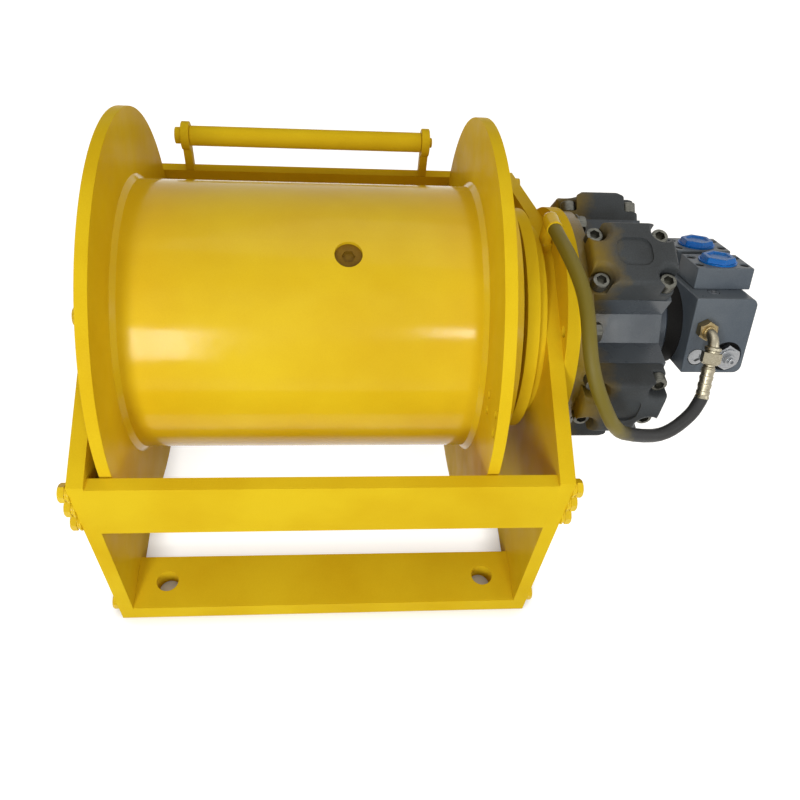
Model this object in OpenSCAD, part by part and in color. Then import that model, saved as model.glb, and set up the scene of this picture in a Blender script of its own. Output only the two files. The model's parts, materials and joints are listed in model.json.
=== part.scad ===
// Hydraulic winch: a drum in a welded plate frame, turned by a radial piston motor
// through a planetary gear and a spring brake that sit inside the drum and its end support.
// X runs along the drum axis to the motor, Y goes back, Z is up, and the floor is Z = 0.

/* [Frame] */
// Clear width between the two side plates
frame_inner_w = 460; // [440:1:620]
// Thickness of a side plate
side_plate_t = 16; // [12:1:25]
// Gap between a rope flange and a cross beam
flange_beam_gap = 2; // [2:1:40]
// Height of the drum axis over the floor
axis_h = 278; // [263:1:340]
// Height of the flat top of a side plate over the drum axis
plate_top_rise = 94; // [92:1:120]
// Length of the flat top in front of the axis
plate_top_front = 5; // [0:1:40]
// Length of the flat top behind the axis
plate_top_rear = 71; // [20:1:110]
// Height of the front edge of a side plate over the drum axis
front_edge_rise = 7; // [0:1:40]
// Height of the rear edge of a side plate over the drum axis
rear_edge_rise = 36; // [7:1:60]
// Height of a cross beam
beam_h = 80; // [60:1:100]
// Thickness of a cross beam
beam_t = 14; // [12:1:14]
// Drop of the front beam below the front edge
front_beam_drop = 4; // [0:1:20]

/* [Base plates] */
// Depth of a base plate
base_plate_d = 68; // [60:1:90]
// Thickness of a base plate
base_plate_t = 25; // [22:1:40]
// Diameter of a foundation hole
base_hole_d = 26; // [12:1:32]
// Distance from a foundation hole to the side plate
base_hole_inset_x = 36; // [25:1:100]
// Distance from a foundation hole to the outer edge of its base plate
base_hole_inset_y = 35; // [22:1:35]

/* [Frame bolts] */
// Shank diameter of a frame bolt
frame_bolt_d = 10; // [6:1:12]
// Head size of a frame bolt across its flats
frame_bolt_af = 17; // [13:1:19]
// Head height of a frame bolt
frame_bolt_head_h = 6.4; // [4:0.1:8]
// Washer diameter under a frame bolt
frame_washer_d = 20; // [18:1:24]
// Thickness of the flat and the spring washer together
frame_washer_t = 4.5; // [2:0.1:6]
// Length of a frame bolt inside the beam
frame_bolt_grip = 24; // [15:1:24]
// Spacing of the three bolts at a beam end
beam_bolt_pitch = 26; // [22:1:28]
// Spacing of the two bolts at a base plate end
base_bolt_pitch = 34; // [24:1:40]

/* [Drum] */
// Outer diameter of the barrel
barrel_od = 299; // [297:1:320]
// Wall of the barrel
barrel_wall = 12; // [10:0.5:12.5]
// Diameter of a rope flange
flange_d = 446; // [444:1:448]
// Thickness of a rope flange
flange_t = 12; // [8:1:14]
// Rope space between the flanges
rope_space = 366; // [366:1:380]
// Gap from the left side plate to the left flange
left_gap = 11; // [8:1:20]
// Length of barrel that stands out past the right flange
barrel_collar = 24; // [18:1:26]
// Leg of the weld fillet at a flange root
weld_leg = 5; // [3:0.5:9]
// Diameter of the oil hole in the barrel
oil_hole_d = 28; // [20:1:34]
// Distance of the oil hole from the right flange
oil_hole_setback = 139; // [134:1:160]
// Angle of the oil hole over the horizontal
oil_hole_angle = 69; // [0:1:180]
// Diameter of a rope clamp hole in the right flange
clamp_hole_d = 9; // [6:0.5:12]
// Radius of the inner pair of rope clamp holes
clamp_hole_r = 176; // [170:1:177]
// Radial spacing of the rope clamp holes
clamp_hole_pitch = 37; // [20:1:38]

/* [Drum bearings] */
// Shaft size of the left bearing
left_bearing_id = 80; // [60:1:90]
// Outer size of the left bearing
left_bearing_od = 140; // [135:1:150]
// Width of the left bearing
left_bearing_w = 26; // [20:1:30]
// Bore size of the large drum bearing
drum_bearing_id = 160; // [150:1:165]
// Outer size of the large drum bearing
drum_bearing_od = 220; // [215:1:225]
// Width of the large drum bearing
drum_bearing_w = 28; // [24:1:34]
// Thickness of the wall that closes the left end of the drum
hub_wall_t = 20; // [15:1:30]
// Diameter of the left bearing housing
left_housing_d = 200; // [196:1:220]
// Thickness of the housing flange inside the plate
left_housing_t = 8; // [6:0.5:9]
// Thickness of the end cap pressed in before the left bearing
left_cover_t = 3; // [2:0.5:6]
// Bolt circle of the left bearing housing
left_bolt_circle = 176; // [174:1:180]

/* [Planetary gear] */
// Gear module
gear_module = 4; // [3.9:0.05:4.05]
// Teeth on the sun gear
sun_teeth = 15; // [15]
// Teeth on a planet gear
planet_teeth = 21; // [21]
// Face width of the gears
gear_w = 45; // [30:1:50]
// Diameter of a planet pin
planet_pin_d = 30; // [20:1:34]
// Thickness of a carrier plate
carrier_plate_t = 14; // [10:1:16]
// Backlash on each flank at the pitch circle
gear_backlash = 0.2; // [0.15:0.01:0.3]
// Diameter of the drive shaft
drive_shaft_d = 40; // [30:1:42]

/* [End support and brake] */
// Gap between the barrel end and the support flange
right_gap = 9.5; // [6:0.5:12]
// How far the mounting disc stands out past the support flange
support_flange_step = 2; // [0:0.5:8]
// Thickness of the support flange
support_flange_t = 13.5; // [10:0.5:16]
// Diameter of the boss behind the support flange
support_boss_d = 220; // [215:1:230]
// Bore of the brake chamber
brake_bore_d = 152; // [140:1:156]
// Wall of the spigot that passes through the side plate
spigot_wall = 8; // [6:0.5:9]
// Number of steel brake plates
steel_plate_count = 4; // [3:1:4]
// Thickness of a brake plate and of a friction disc
brake_plate_t = 3; // [2.5:0.1:3.2]
// Diameter of the brake hub
brake_hub_d = 90; // [70:1:94]
// Thickness of the brake piston
brake_piston_t = 8; // [6:0.5:9]
// Diameter of the hole through the brake piston
brake_piston_id = 100; // [98:1:110]
// Thickness of a disc spring
disc_spring_t = 2; // [1.5:0.1:2.2]

/* [Motor] */
// Diameter of the mounting disc on the side plate
mount_disc_d = 258; // [250:1:270]
// Thickness of the mounting disc
mount_disc_t = 15; // [12:1:20]
// Diameter of the motor flange
motor_flange_d = 250; // [245:1:262]
// Thickness of the motor flange
motor_flange_t = 14; // [10:1:16]
// Distance from a motor bolt to the edge of the motor flange
motor_bolt_edge = 10; // [9:0.5:13]
// Distance from the side plate to the middle of the cylinders
cylinder_x = 70; // [70:1:90]
// Distance from the axis to the outer face of a cylinder cap
cap_face_r = 144; // [140:0.5:150]
// Length of a cylinder cap along the axis
cap_l = 93.4; // [90:0.2:94]
// Width of a cylinder cap round the axis
cap_w = 77.4; // [72:0.2:78]
// Thickness of a cylinder cap
cap_t = 34.5; // [30:0.5:36]
// Distance from a cap screw to the edges of its cap
cap_screw_inset = 11; // [10:0.5:12]
// Diameter of a cap screw
cap_screw_d = 12; // [8:1:12]
// Depth of the corner seats of a cap
cap_corner_depth = 23.5; // [18:0.5:26]
// Bore of a motor cylinder
cylinder_bore_d = 40; // [36:1:44]
// Length of a motor piston
piston_l = 52; // [40:1:56]
// Diameter of the crank eccentric
eccentric_d = 64; // [58:1:64]
// Throw of the crank eccentric
eccentric_throw = 10; // [6:0.5:10]
// Angle of the first cylinder over the horizontal
first_cylinder_angle = 2; // [0:1:71]

/* [Valve] */
// Diameter of the distributor housing
distributor_d = 112; // [100:1:118]
// Length of the distributor housing
distributor_l = 42; // [36:1:50]
// Length of the valve block along the axis
block_l = 71; // [69:0.5:90]
// Distance from the axis to the front face of the valve block
block_front = 70; // [62:1:80]
// Distance from the axis to the back face of the valve block
block_back = 88; // [88:1:100]
// Distance from the axis to the upper face of the valve block
block_top = 55; // [50:1:60]
// Distance from the axis to the lower face of the valve block
block_bottom = 36; // [34:1:50]
// Tilt of the valve block over the horizontal
block_tilt = 22; // [0:1:60]
// Height of a port flange
port_flange_h = 25; // [20:1:30]
// Length of a port flange along the axis
port_flange_l = 66; // [66:1:80]
// Width of a port flange
port_flange_w = 50; // [48:1:60]
// Long spacing of the port flange screws
port_screw_pitch_long = 52.4; // [50:0.1:54]
// Short spacing of the port flange screws
port_screw_pitch_short = 26.2; // [25:0.1:28]
// Bore of a port
port_bore_d = 25; // [20:0.5:27]
// Depth of a port bore
port_depth = 40; // [30:1:60]
// Distance between the two ports
port_pitch = 62; // [62:1:70]

/* [Brake hose] */
// Outer diameter of the brake hose
hose_d = 15; // [12:0.5:15]
// Diameter of a crimped ferrule
ferrule_d = 18; // [16:0.5:20]
// Hex size of the hose adapter across its flats
adapter_af = 22; // [19:1:24]

/* [Rope guard] */
// Outer diameter of the guard tube
guard_tube_d = 24; // [18:1:32]
// Length of the guard tube
guard_tube_l = 288; // [240:1:320]
// Height of the guard tube over the rear beam
guard_rise = 46; // [34:1:60]
// Thickness of a guard lug
guard_lug_t = 10; // [6:1:14]
// Diameter of the round head of a guard lug
guard_lug_d = 34; // [28:1:36]
// Diameter of the guard pin
guard_pin_d = 12; // [8:1:14]
// Distance of the middle of the guard tube from the middle of the frame
guard_offset = 26; // [0:1:40]

/* [Hidden] */
$fn = 96;

// Clearances, overruns and small allowances
run_gap = 0.05;
fit_gap = 0.1;
free_gap = 0.3;
over = 1;

// Frame places
plate_in = frame_inner_w / 2;
plate_out = plate_in + side_plate_t;
frame_y = flange_d / 2 + flange_beam_gap + beam_t;
support_flange_d = mount_disc_d - 2 * support_flange_step;
motor_bolt_circle = motor_flange_d - 2 * motor_bolt_edge;
front_beam_top = axis_h + front_edge_rise - front_beam_drop;
rear_beam_top = axis_h + rear_edge_rise;
base_hole_x = plate_in - base_hole_inset_x;
base_hole_y = frame_y - base_hole_inset_y;
base_bolt_y = frame_y - base_plate_d / 2;
frame_hole_d = frame_bolt_d + 2 * fit_gap;

// Drum places along the axis
drum_left = -plate_in + left_gap;
flange_left_in = drum_left + flange_t;
flange_right_in = flange_left_in + rope_space;
flange_right_out = flange_right_in + flange_t;
barrel_end = flange_right_out + barrel_collar;
barrel_id = barrel_od - 2 * barrel_wall;
hub_wall_inset = 4;
hub_wall_x = drum_left + hub_wall_inset;
hub_shoulder_d = 104;
oil_hole_x = flange_right_in - oil_hole_setback;
oil_plug_h = 7;
oil_plug_sink = 5;
oil_plug_socket_af = 12;
clamp_hole_angles = [13.3, 19.3];

// Left bearing
left_spigot_wall = 5;
left_spigot_d = left_bearing_od + 2 * left_spigot_wall;
left_spigot_end = -plate_in + left_housing_t;
left_bearing_x = left_spigot_end - left_bearing_w;
left_bolt_count = 3;
left_bolt_first = 43;
left_bolt_d = 12;
left_bolt_af = 19;
left_bolt_head_h = 8;
stub_end_gap = 2;

// Drum bearing
drum_bearing_inset = 6;
drum_bearing_x = barrel_end - drum_bearing_inset - drum_bearing_w;
bearing_lip = 4;
bearing_ball_share = 0.5;
bearing_race_share = 0.62;
left_ball_count = 11;
drum_ball_count = 18;

// Planetary gear: tooth sizes and places
ring_teeth = sun_teeth + 2 * planet_teeth;
planet_count = 3;
pressure_angle = 20;
tip_share = 0.8;
root_share = 1.0;
flank_share = 0.3;
planet_r = gear_module * (sun_teeth + planet_teeth) / 2;
carrier_gap = 2;
carrier_setback = 50;
carrier_end = drum_bearing_x - carrier_setback + drum_bearing_w / 2;
gear_x = carrier_end - carrier_plate_t - carrier_gap - gear_w;
carrier_x = gear_x - carrier_gap - carrier_plate_t;
carrier_clear = 5;
carrier_d = gear_module * (ring_teeth - 2 * tip_share) - 2 * carrier_clear;
carrier_bore_gap = 10;
carrier_bore_d = drive_shaft_d + 2 * carrier_bore_gap;
carrier_post_d = 28;
carrier_post_r = carrier_d / 2 - carrier_post_d / 2 - over;
carrier_screw_d = 10;
carrier_screw_head_d = 16;
carrier_screw_head_h = 10;
carrier_screw_grip = 24;
carrier_screw_swing = 17;
sleeve_bore_d = 110;
carrier_screw_r = (drum_bearing_id + sleeve_bore_d) / 4;

// End support and brake places along the axis
support_x = barrel_end + right_gap;
support_boss_x = support_x + support_flange_t;
brake_floor_inset = 3.5;
brake_x = support_x + brake_floor_inset;
sleeve_web_t = 18;
brake_stack_pitch = 2 * (brake_plate_t + free_gap);
brake_stack_end = brake_x + free_gap + steel_plate_count * brake_stack_pitch - brake_plate_t - 2 * free_gap;
brake_piston_x = brake_stack_end + free_gap;
brake_piston_end = brake_piston_x + brake_piston_t;
brake_edge_gap = 6;
steel_plate_gap = 3;
spring_hole_gap = 2;
brake_spring_d = brake_bore_d - 2 * brake_edge_gap;
brake_spring_id = brake_piston_id + 2 * spring_hole_gap;
shaft_split_inset = 14;
shaft_split_x = brake_x + shaft_split_inset;
shaft_split_gap = 1;
spigot_d = brake_bore_d + 2 * spigot_wall;
plate_bore_d = spigot_d + 2 * fit_gap;
housing_screw_d = 12;
housing_screw_head_d = 18;
housing_screw_head_h = 12;
housing_screw_r = (spigot_d + support_boss_d) / 4;
housing_screw_grip = 22;
housing_screw_angles = [30, 150, 210, 270, 330];

// Motor places along the axis
disc_end = plate_out + mount_disc_t;
flange_end = disc_end + motor_flange_t;
motor_x = plate_out + cylinder_x;
cylinder_count = 5;
cylinder_angles = [for (i = [0:cylinder_count - 1]) first_cylinder_angle + i * 360 / cylinder_count];
cap_seat_r = cap_face_r - cap_t;
cap_corner_d = 30;
cap_screw_x = cap_l / 2 - cap_screw_inset;
cap_screw_y = cap_w / 2 - cap_screw_inset;
cap_screw_head_d = 18;
cap_screw_head_h = 12;
cap_screw_socket_af = 10;
cap_screw_grip = 26;
cap_recess_l = 38;
cap_recess_w = 34;
cap_recess_r = 9;
cap_recess_depth = 2;
cap_round_r = 8;
crankcase_end = motor_x + cap_l / 2;
crankcase_core_r = 92;
crankcase_core_sides = 10;
arm_setback = 0.5;
crank_sweep_gap = 3;
crank_cavity_d = eccentric_d + 2 * (eccentric_throw + crank_sweep_gap);
crank_bearing_d = 74;
crank_bearing_w = 18;
crank_cavity_l = 52;
crank_cavity_x = motor_x - crank_cavity_l / 2;
crank_web_gap = 5;
crank_bearing_gap = 1.5;
crank_front_bearing_x = crank_cavity_x - crank_bearing_w - crank_bearing_gap;
crank_rear_bearing_x = crank_cavity_x + crank_cavity_l + crank_bearing_gap;
piston_foot_r = eccentric_d / 2 + eccentric_throw + free_gap;
motor_bolt_d = 12;
motor_bolt_af = 19;
motor_bolt_head_h = 8;
motor_washer_d = 24;
motor_washer_t = 2.5;

// Valve places
distributor_x = crankcase_end;
block_x = distributor_x + distributor_l;
valve_rotor_d = 56;
valve_rotor_slack = 3;
port_offset_x = 4.5;
port_x = block_x + block_l / 2 + port_offset_x;
port_n_near = 16;
port_places = [port_n_near, port_n_near - port_pitch];
port_screw_d = 10;
port_screw_depth = 18;
port_plug_d = 38;
port_plug_h = 7;
port_plug_stem_d = port_bore_d - 2 * fit_gap;
port_plug_stem_l = 12;
block_screw_d = 20;
block_screw_x = 14;
block_screw_t = -16;
block_screw_sink = 3;
top_screw_x = 27;
top_screw_n = 48.5;
top_screw_d = 14;
relief_x = 49;
relief_t = -15;
relief_bore_d = 36;
relief_bore_depth = 5;
relief_af = 27;
relief_hex_l = 13;
relief_stem_d = 14;
relief_l = 21;

// Hose fittings and route
adapter_x = 16;
adapter_t = 20;
adapter_hex_h = 14;
adapter_tube_d = 12;
adapter_reach = 28;
elbow_d = 15;
hose_nut_af = 20;
hose_nut_from = 8;
hose_nut_to = 32;
plate_fitting = [237.5, 16, 411];
plate_fitting_d = 17;
plate_stub_d = 14;
hose_route = [
    [412.5, -123, 281.2], [409, -128, 276.1], [399.4, -137.7, 267.3], [377.8, -151.3, 259.1],
    [353.3, -160.1, 259.4], [312.6, -172, 279.8], [294.3, -177.2, 300.5], [285, -177.8, 314.7],
    [272.7, -173.1, 335.9], [263.6, -163.3, 354.3], [257.9, -150.2, 370.4], [255.5, -134.5, 384.8],
    [254.7, -118.1, 395.9], [253.1, -98.2, 405.7], [249.8, -80.3, 412.4], [245.2, -60.4, 417.2],
    [240.8, -39.1, 419.1], [237, -6.6, 416.2]
];
hose_sides = 10;
hose_steps = 2;

// Guard places
guard_y = frame_y - beam_t / 2;
guard_z = rear_beam_top + guard_rise;
guard_left = -guard_offset - guard_tube_l / 2;
guard_right = -guard_offset + guard_tube_l / 2;
guard_leg_w = beam_t;
guard_head_d = 20;
guard_head_t = 8;

// Paint colours
yellow = "#e6b420";
dark = "#4b5055";
bluegrey = "#6b7680";
steel = "#b9bcc0";
brass = "#b7a057";
black = "#1c1c1c";

// Puts children on the drum axis at x, with their z along +X
module on_axis(x) {
  translate([x, 0, axis_h]) rotate([0, 90, 0]) children();
}

// Turns children so that their z points away from the axis at an angle over the front horizontal,
// their x runs along the axis and their y runs round it
module radial(angle) {
  translate([0, 0, axis_h]) rotate([90 - angle, 0, 0]) children();
}

// A ring or tube along z
module ring(outer_d, inner_d, h) {
  difference() {
    cylinder(d = outer_d, h = h);
    translate([0, 0, -over]) cylinder(d = inner_d, h = h + 2 * over);
  }
}

// A hexagonal prism of a given size across its flats
module hex(af, h) {
  cylinder(d = af / cos(30), h = h, $fn = 6);
}

// A hex bolt seated at z = 0, head up, shank down
module hex_bolt(d, af, head_h, washer_d, washer_t, grip) {
  translate([0, 0, -grip]) cylinder(d = d, h = grip + washer_t);
  cylinder(d = washer_d, h = washer_t);
  translate([0, 0, washer_t]) hex(af, head_h);
}

// A socket head screw seated at z = 0, head up, shank down
module socket_screw(d, head_d, head_h, socket_af, grip) {
  difference() {
    union() {
      translate([0, 0, -grip]) cylinder(d = d, h = grip + head_h / 2);
      cylinder(d = head_d, h = head_h);
    }
    translate([0, 0, head_h / 2]) hex(socket_af, head_h);
  }
}

// A plate with rounded corners, centred on x and y
module rounded_plate(l, w, h, r) {
  translate([-l / 2 + r, -w / 2, 0]) cube([l - 2 * r, w, h]);
  translate([-l / 2, -w / 2 + r, 0]) cube([l, w - 2 * r, h]);
  for (sx = [-1, 1], sy = [-1, 1])
    translate([sx * (l / 2 - r), sy * (w / 2 - r), 0]) cylinder(r = r, h = h);
}

// A straight rod between two points
module rod(a, b, d) {
  v = b - a;
  len = norm(v);
  translate(a) rotate([0, acos(v.z / len), atan2(v.y, v.x)]) cylinder(d = d, h = len);
}

// A hexagonal rod between two points
module hex_rod(a, b, af) {
  v = b - a;
  len = norm(v);
  translate(a) rotate([0, acos(v.z / len), atan2(v.y, v.x)]) hex(af, len);
}

// Involute gear outline
function involute(a) = tan(a) * 180 / PI - a;
function roll_angle(base_r, r) = acos(min(1, base_r / r));
function half_tooth(teeth, r, slack) =
  let (pitch_r = gear_module * teeth / 2, base_r = pitch_r * cos(pressure_angle))
  90 / teeth + slack / pitch_r * 180 / PI + involute(pressure_angle) - involute(roll_angle(base_r, r));
function tooth_radii(teeth, tip, root) =
  let (pitch_r = gear_module * teeth / 2, low = pitch_r - root, high = pitch_r + tip)
  [
    low,
    max(low, pitch_r * cos(pressure_angle)) + flank_share * gear_module,
    pitch_r + flank_share * tip,
    high
  ];
function gear_points(teeth, tip, root, slack, turn) =
  let (radii = tooth_radii(teeth, tip, root), n = len(radii))
  [for (i = [0:teeth - 1], side = [-1, 1], k = [0:n - 1])
    let (
      r = side < 0 ? radii[k] : radii[n - 1 - k],
      a = turn + i * 360 / teeth + side * half_tooth(teeth, r, slack)
    )
    [r * cos(a), r * sin(a)]];

// An external gear along z
module gear(teeth, h, turn) {
  linear_extrude(height = h)
    polygon(gear_points(teeth, tip_share * gear_module, root_share * gear_module, -gear_backlash, turn));
}

// Places children at each planet
module at_planets() {
  for (i = [0:planet_count - 1])
    rotate([0, 0, i * 360 / planet_count]) translate([planet_r, 0, 0]) children();
}

// Places of the bearing balls
module ball_ring(pitch_d, ball_d, w, count) {
  for (i = [0:count - 1])
    rotate([0, 0, i * 360 / count]) translate([pitch_d / 2, 0, w / 2]) sphere(d = ball_d, $fn = 32);
}

// Groove that the balls run in
module ball_groove(pitch_d, ball_d, w) {
  translate([0, 0, w / 2]) rotate_extrude() translate([pitch_d / 2, 0]) circle(d = ball_d + 2 * free_gap);
}

module inner_race(id, od, w) {
  pitch_d = (id + od) / 2;
  ball_d = (od - id) / 2 * bearing_race_share;
  difference() {
    ring(pitch_d - ball_d * bearing_ball_share, id, w);
    ball_groove(pitch_d, ball_d, w);
  }
}

module outer_race(id, od, w) {
  pitch_d = (id + od) / 2;
  ball_d = (od - id) / 2 * bearing_race_share;
  difference() {
    ring(od, pitch_d + ball_d * bearing_ball_share, w);
    ball_groove(pitch_d, ball_d, w);
  }
}

module race_balls(id, od, w, count) {
  ball_ring((id + od) / 2, (od - id) / 2 * bearing_race_share, w, count);
}

// Side outline of a plate in Y and Z
module plate_outline() {
  polygon([
    [-frame_y, 0], [frame_y, 0], [frame_y, axis_h + rear_edge_rise],
    [plate_top_rear, axis_h + plate_top_rise], [-plate_top_front, axis_h + plate_top_rise],
    [-frame_y, axis_h + front_edge_rise]
  ]);
}

module blank_side_plate(x) {
  translate([x, 0, 0]) rotate([90, 0, 90]) linear_extrude(height = side_plate_t) plate_outline();
}

// Heights and depths of all frame bolts on one side
function beam_bolt_heights(top) = [for (i = [-1:1]) top - beam_h / 2 + i * beam_bolt_pitch];
frame_bolt_places = concat(
  [for (z = beam_bolt_heights(front_beam_top)) [-frame_y + beam_t / 2, z]],
  [for (z = beam_bolt_heights(rear_beam_top)) [frame_y - beam_t / 2, z]],
  [for (s = [-1, 1], k = [-1, 1]) [s * base_bolt_y + k * base_bolt_pitch / 2, base_plate_t / 2]]
);

// Holes for the frame bolts on both sides
module frame_bolt_holes() {
  for (p = frame_bolt_places, s = [-1, 1])
    translate([s * (plate_out + over), p[0], p[1]]) rotate([0, -s * 90, 0])
      cylinder(d = frame_hole_d, h = side_plate_t + frame_bolt_grip + over + fit_gap);
}

module side_plate_left() {
  color(yellow) difference() {
    blank_side_plate(-plate_out);
    on_axis(-plate_out - over) cylinder(d = left_spigot_d + 2 * fit_gap, h = side_plate_t + 2 * over);
    left_bolt_holes();
    frame_bolt_holes();
  }
}

module side_plate_right() {
  color(yellow) difference() {
    blank_side_plate(plate_in);
    on_axis(plate_in - over) cylinder(d = plate_bore_d, h = side_plate_t + 2 * over);
    housing_screw_holes();
    frame_bolt_holes();
  }
}

module beam(y, top) {
  difference() {
    translate([-plate_in, y, top - beam_h]) cube([frame_inner_w, beam_t, beam_h]);
    frame_bolt_holes();
  }
}

module front_beam() {
  color(yellow) beam(-frame_y, front_beam_top);
}

module rear_beam() {
  color(yellow) beam(frame_y - beam_t, rear_beam_top);
}

module base_plate(y, hole_y) {
  color(yellow) difference() {
    translate([-plate_in, y, 0]) cube([frame_inner_w, base_plate_d, base_plate_t]);
    for (s = [-1, 1])
      translate([s * base_hole_x, hole_y, -over]) cylinder(d = base_hole_d, h = base_plate_t + 2 * over);
    frame_bolt_holes();
  }
}

module base_plate_front() {
  base_plate(-frame_y, -base_hole_y);
}

module base_plate_rear() {
  base_plate(frame_y - base_plate_d, base_hole_y);
}

module frame_bolts() {
  color(yellow) for (p = frame_bolt_places, s = [-1, 1])
    translate([s * plate_out, p[0], p[1]]) rotate([0, s * 90, 0])
      hex_bolt(frame_bolt_d, frame_bolt_af, frame_bolt_head_h, frame_washer_d, frame_washer_t,
        side_plate_t + frame_bolt_grip);
}

// Rope guard over the rear beam
module guard_lug(x) {
  difference() {
    union() {
      translate([x, guard_y - guard_leg_w / 2, rear_beam_top]) cube([guard_lug_t, guard_leg_w, guard_rise]);
      translate([x, guard_y, guard_z]) rotate([0, 90, 0]) cylinder(d = guard_lug_d, h = guard_lug_t);
    }
    translate([x - over, guard_y, guard_z]) rotate([0, 90, 0])
      cylinder(d = guard_pin_d + 2 * fit_gap, h = guard_lug_t + 2 * over);
  }
}

module guard_lugs() {
  color(yellow) {
    guard_lug(guard_left - free_gap - guard_lug_t);
    guard_lug(guard_right + free_gap);
  }
}

module guard_tube() {
  color(yellow) translate([guard_left, guard_y, guard_z]) rotate([0, 90, 0])
    ring(guard_tube_d, guard_pin_d + 2 * run_gap, guard_tube_l);
}

module guard_pin() {
  color(yellow) translate([guard_left - free_gap - guard_lug_t, guard_y, guard_z]) rotate([0, 90, 0]) {
    translate([0, 0, -guard_head_t]) cylinder(d = guard_head_d, h = guard_head_t);
    cylinder(d = guard_pin_d, h = guard_tube_l + 2 * (free_gap + guard_lug_t) + guard_head_t / 2);
  }
}

// Drum
module weld_fillet(r, leg) {
  rotate_extrude() polygon([[r - over, 0], [r + leg, 0], [r, leg], [r - over, leg]]);
}

module drum_barrel() {
  color(yellow) difference() {
    union() {
      on_axis(drum_left) cylinder(d = barrel_od, h = barrel_end - drum_left);
      on_axis(flange_left_in) weld_fillet(barrel_od / 2, weld_leg);
      on_axis(flange_right_in) mirror([0, 0, 1]) weld_fillet(barrel_od / 2, weld_leg);
    }
    on_axis(drum_left - over) cylinder(d = barrel_id, h = barrel_end - drum_left + 2 * over);
    radial(oil_hole_angle) translate([oil_hole_x, 0, barrel_id / 2 - barrel_wall])
      cylinder(d = oil_hole_d, h = 3 * barrel_wall);
  }
}

module drum_flange(x) {
  on_axis(x) ring(flange_d, barrel_od, flange_t);
}

module drum_flange_left() {
  color(yellow) drum_flange(drum_left);
}

module drum_flange_right() {
  color(yellow) difference() {
    drum_flange(flange_right_in);
    for (a = clamp_hole_angles, k = [0, 1])
      radial(a) translate([flange_right_in - over, 0, clamp_hole_r + k * clamp_hole_pitch]) rotate([0, 90, 0])
        cylinder(d = clamp_hole_d, h = flange_t + 2 * over);
  }
}

// Wall of the left drum end with its stub shaft
module drum_hub() {
  stub_end = left_bearing_x + stub_end_gap;
  color(yellow) {
    on_axis(hub_wall_x) cylinder(d = barrel_id, h = hub_wall_t);
    on_axis(left_spigot_end) cylinder(d = hub_shoulder_d, h = hub_wall_x - left_spigot_end);
    on_axis(stub_end) cylinder(d = left_bearing_id, h = hub_wall_x - stub_end);
  }
}

module drum_plug() {
  color(steel) radial(oil_hole_angle) translate([oil_hole_x, 0, barrel_od / 2 - oil_plug_sink - oil_plug_h])
    difference() {
      cylinder(d = oil_hole_d - 2 * fit_gap, h = oil_plug_h);
      translate([0, 0, oil_plug_h / 2]) hex(oil_plug_socket_af, oil_plug_h);
    }
}

// Ring in the barrel end that holds the outer race
module bearing_carrier() {
  color(yellow) on_axis(drum_bearing_x - bearing_lip) difference() {
    cylinder(d = barrel_id, h = drum_bearing_w + bearing_lip);
    translate([0, 0, -over]) cylinder(d = drum_bearing_od - 2 * bearing_lip, h = bearing_lip + 2 * over);
    translate([0, 0, bearing_lip]) cylinder(d = drum_bearing_od, h = drum_bearing_w + over);
  }
}

module drum_bearing_outer() {
  color(steel) on_axis(drum_bearing_x) outer_race(drum_bearing_id, drum_bearing_od, drum_bearing_w);
}

module drum_bearing_inner() {
  color(steel) on_axis(drum_bearing_x) {
    inner_race(drum_bearing_id, drum_bearing_od, drum_bearing_w);
    race_balls(drum_bearing_id, drum_bearing_od, drum_bearing_w, drum_ball_count);
  }
}

module left_bearing_outer() {
  color(steel) on_axis(left_bearing_x) {
    outer_race(left_bearing_id, left_bearing_od, left_bearing_w);
    race_balls(left_bearing_id, left_bearing_od, left_bearing_w, left_ball_count);
  }
}

module left_bearing_inner() {
  color(steel) on_axis(left_bearing_x) inner_race(left_bearing_id, left_bearing_od, left_bearing_w);
}

// Left bearing housing in the plate, its end cap and its bolts
module at_left_bolts() {
  for (i = [0:left_bolt_count - 1])
    radial(left_bolt_first + i * 360 / left_bolt_count)
      translate([-plate_out, 0, left_bolt_circle / 2]) rotate([0, -90, 0]) children();
}

module left_bolt_holes() {
  at_left_bolts() translate([0, 0, -side_plate_t - left_housing_t - over])
    cylinder(d = left_bolt_d + 2 * fit_gap, h = side_plate_t + left_housing_t + 2 * over);
}

module left_bearing_housing() {
  color(yellow) difference() {
    union() {
      on_axis(-plate_in) cylinder(d = left_housing_d, h = left_housing_t);
      on_axis(left_bearing_x - left_cover_t)
        cylinder(d = left_spigot_d, h = left_spigot_end - left_bearing_x + left_cover_t);
    }
    on_axis(left_bearing_x - left_cover_t - over)
      cylinder(d = left_bearing_od, h = left_spigot_end - left_bearing_x + left_cover_t + 2 * over);
    left_bolt_holes();
  }
}

module left_bearing_cover() {
  color(yellow) on_axis(left_bearing_x - left_cover_t) cylinder(d = left_bearing_od, h = left_cover_t);
}

module left_housing_bolts() {
  color(yellow) at_left_bolts()
    hex_bolt(left_bolt_d, left_bolt_af, left_bolt_head_h, frame_washer_d, frame_washer_t,
      side_plate_t + left_housing_t);
}

// Planetary gear
module ring_gear() {
  color(steel) on_axis(gear_x - carrier_gap / 2) difference() {
    cylinder(d = barrel_id, h = gear_w + carrier_gap);
    translate([0, 0, -over]) linear_extrude(height = gear_w + carrier_gap + 2 * over)
      polygon(gear_points(ring_teeth, root_share * gear_module, tip_share * gear_module, gear_backlash, 0));
  }
}

module planet_gear(i) {
  color(steel)
  on_axis(gear_x) rotate([0, 0, i * 360 / planet_count]) translate([planet_r, 0, 0])
  difference() {
    gear(planet_teeth, gear_w, 0);
    translate([0, 0, -over]) cylinder(d = planet_pin_d + 2 * run_gap, h = gear_w + 2 * over);
  }
}

module planet_gear_1() {
  planet_gear(0);
}

module planet_gear_2() {
  planet_gear(1);
}

module planet_gear_3() {
  planet_gear(2);
}

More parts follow.
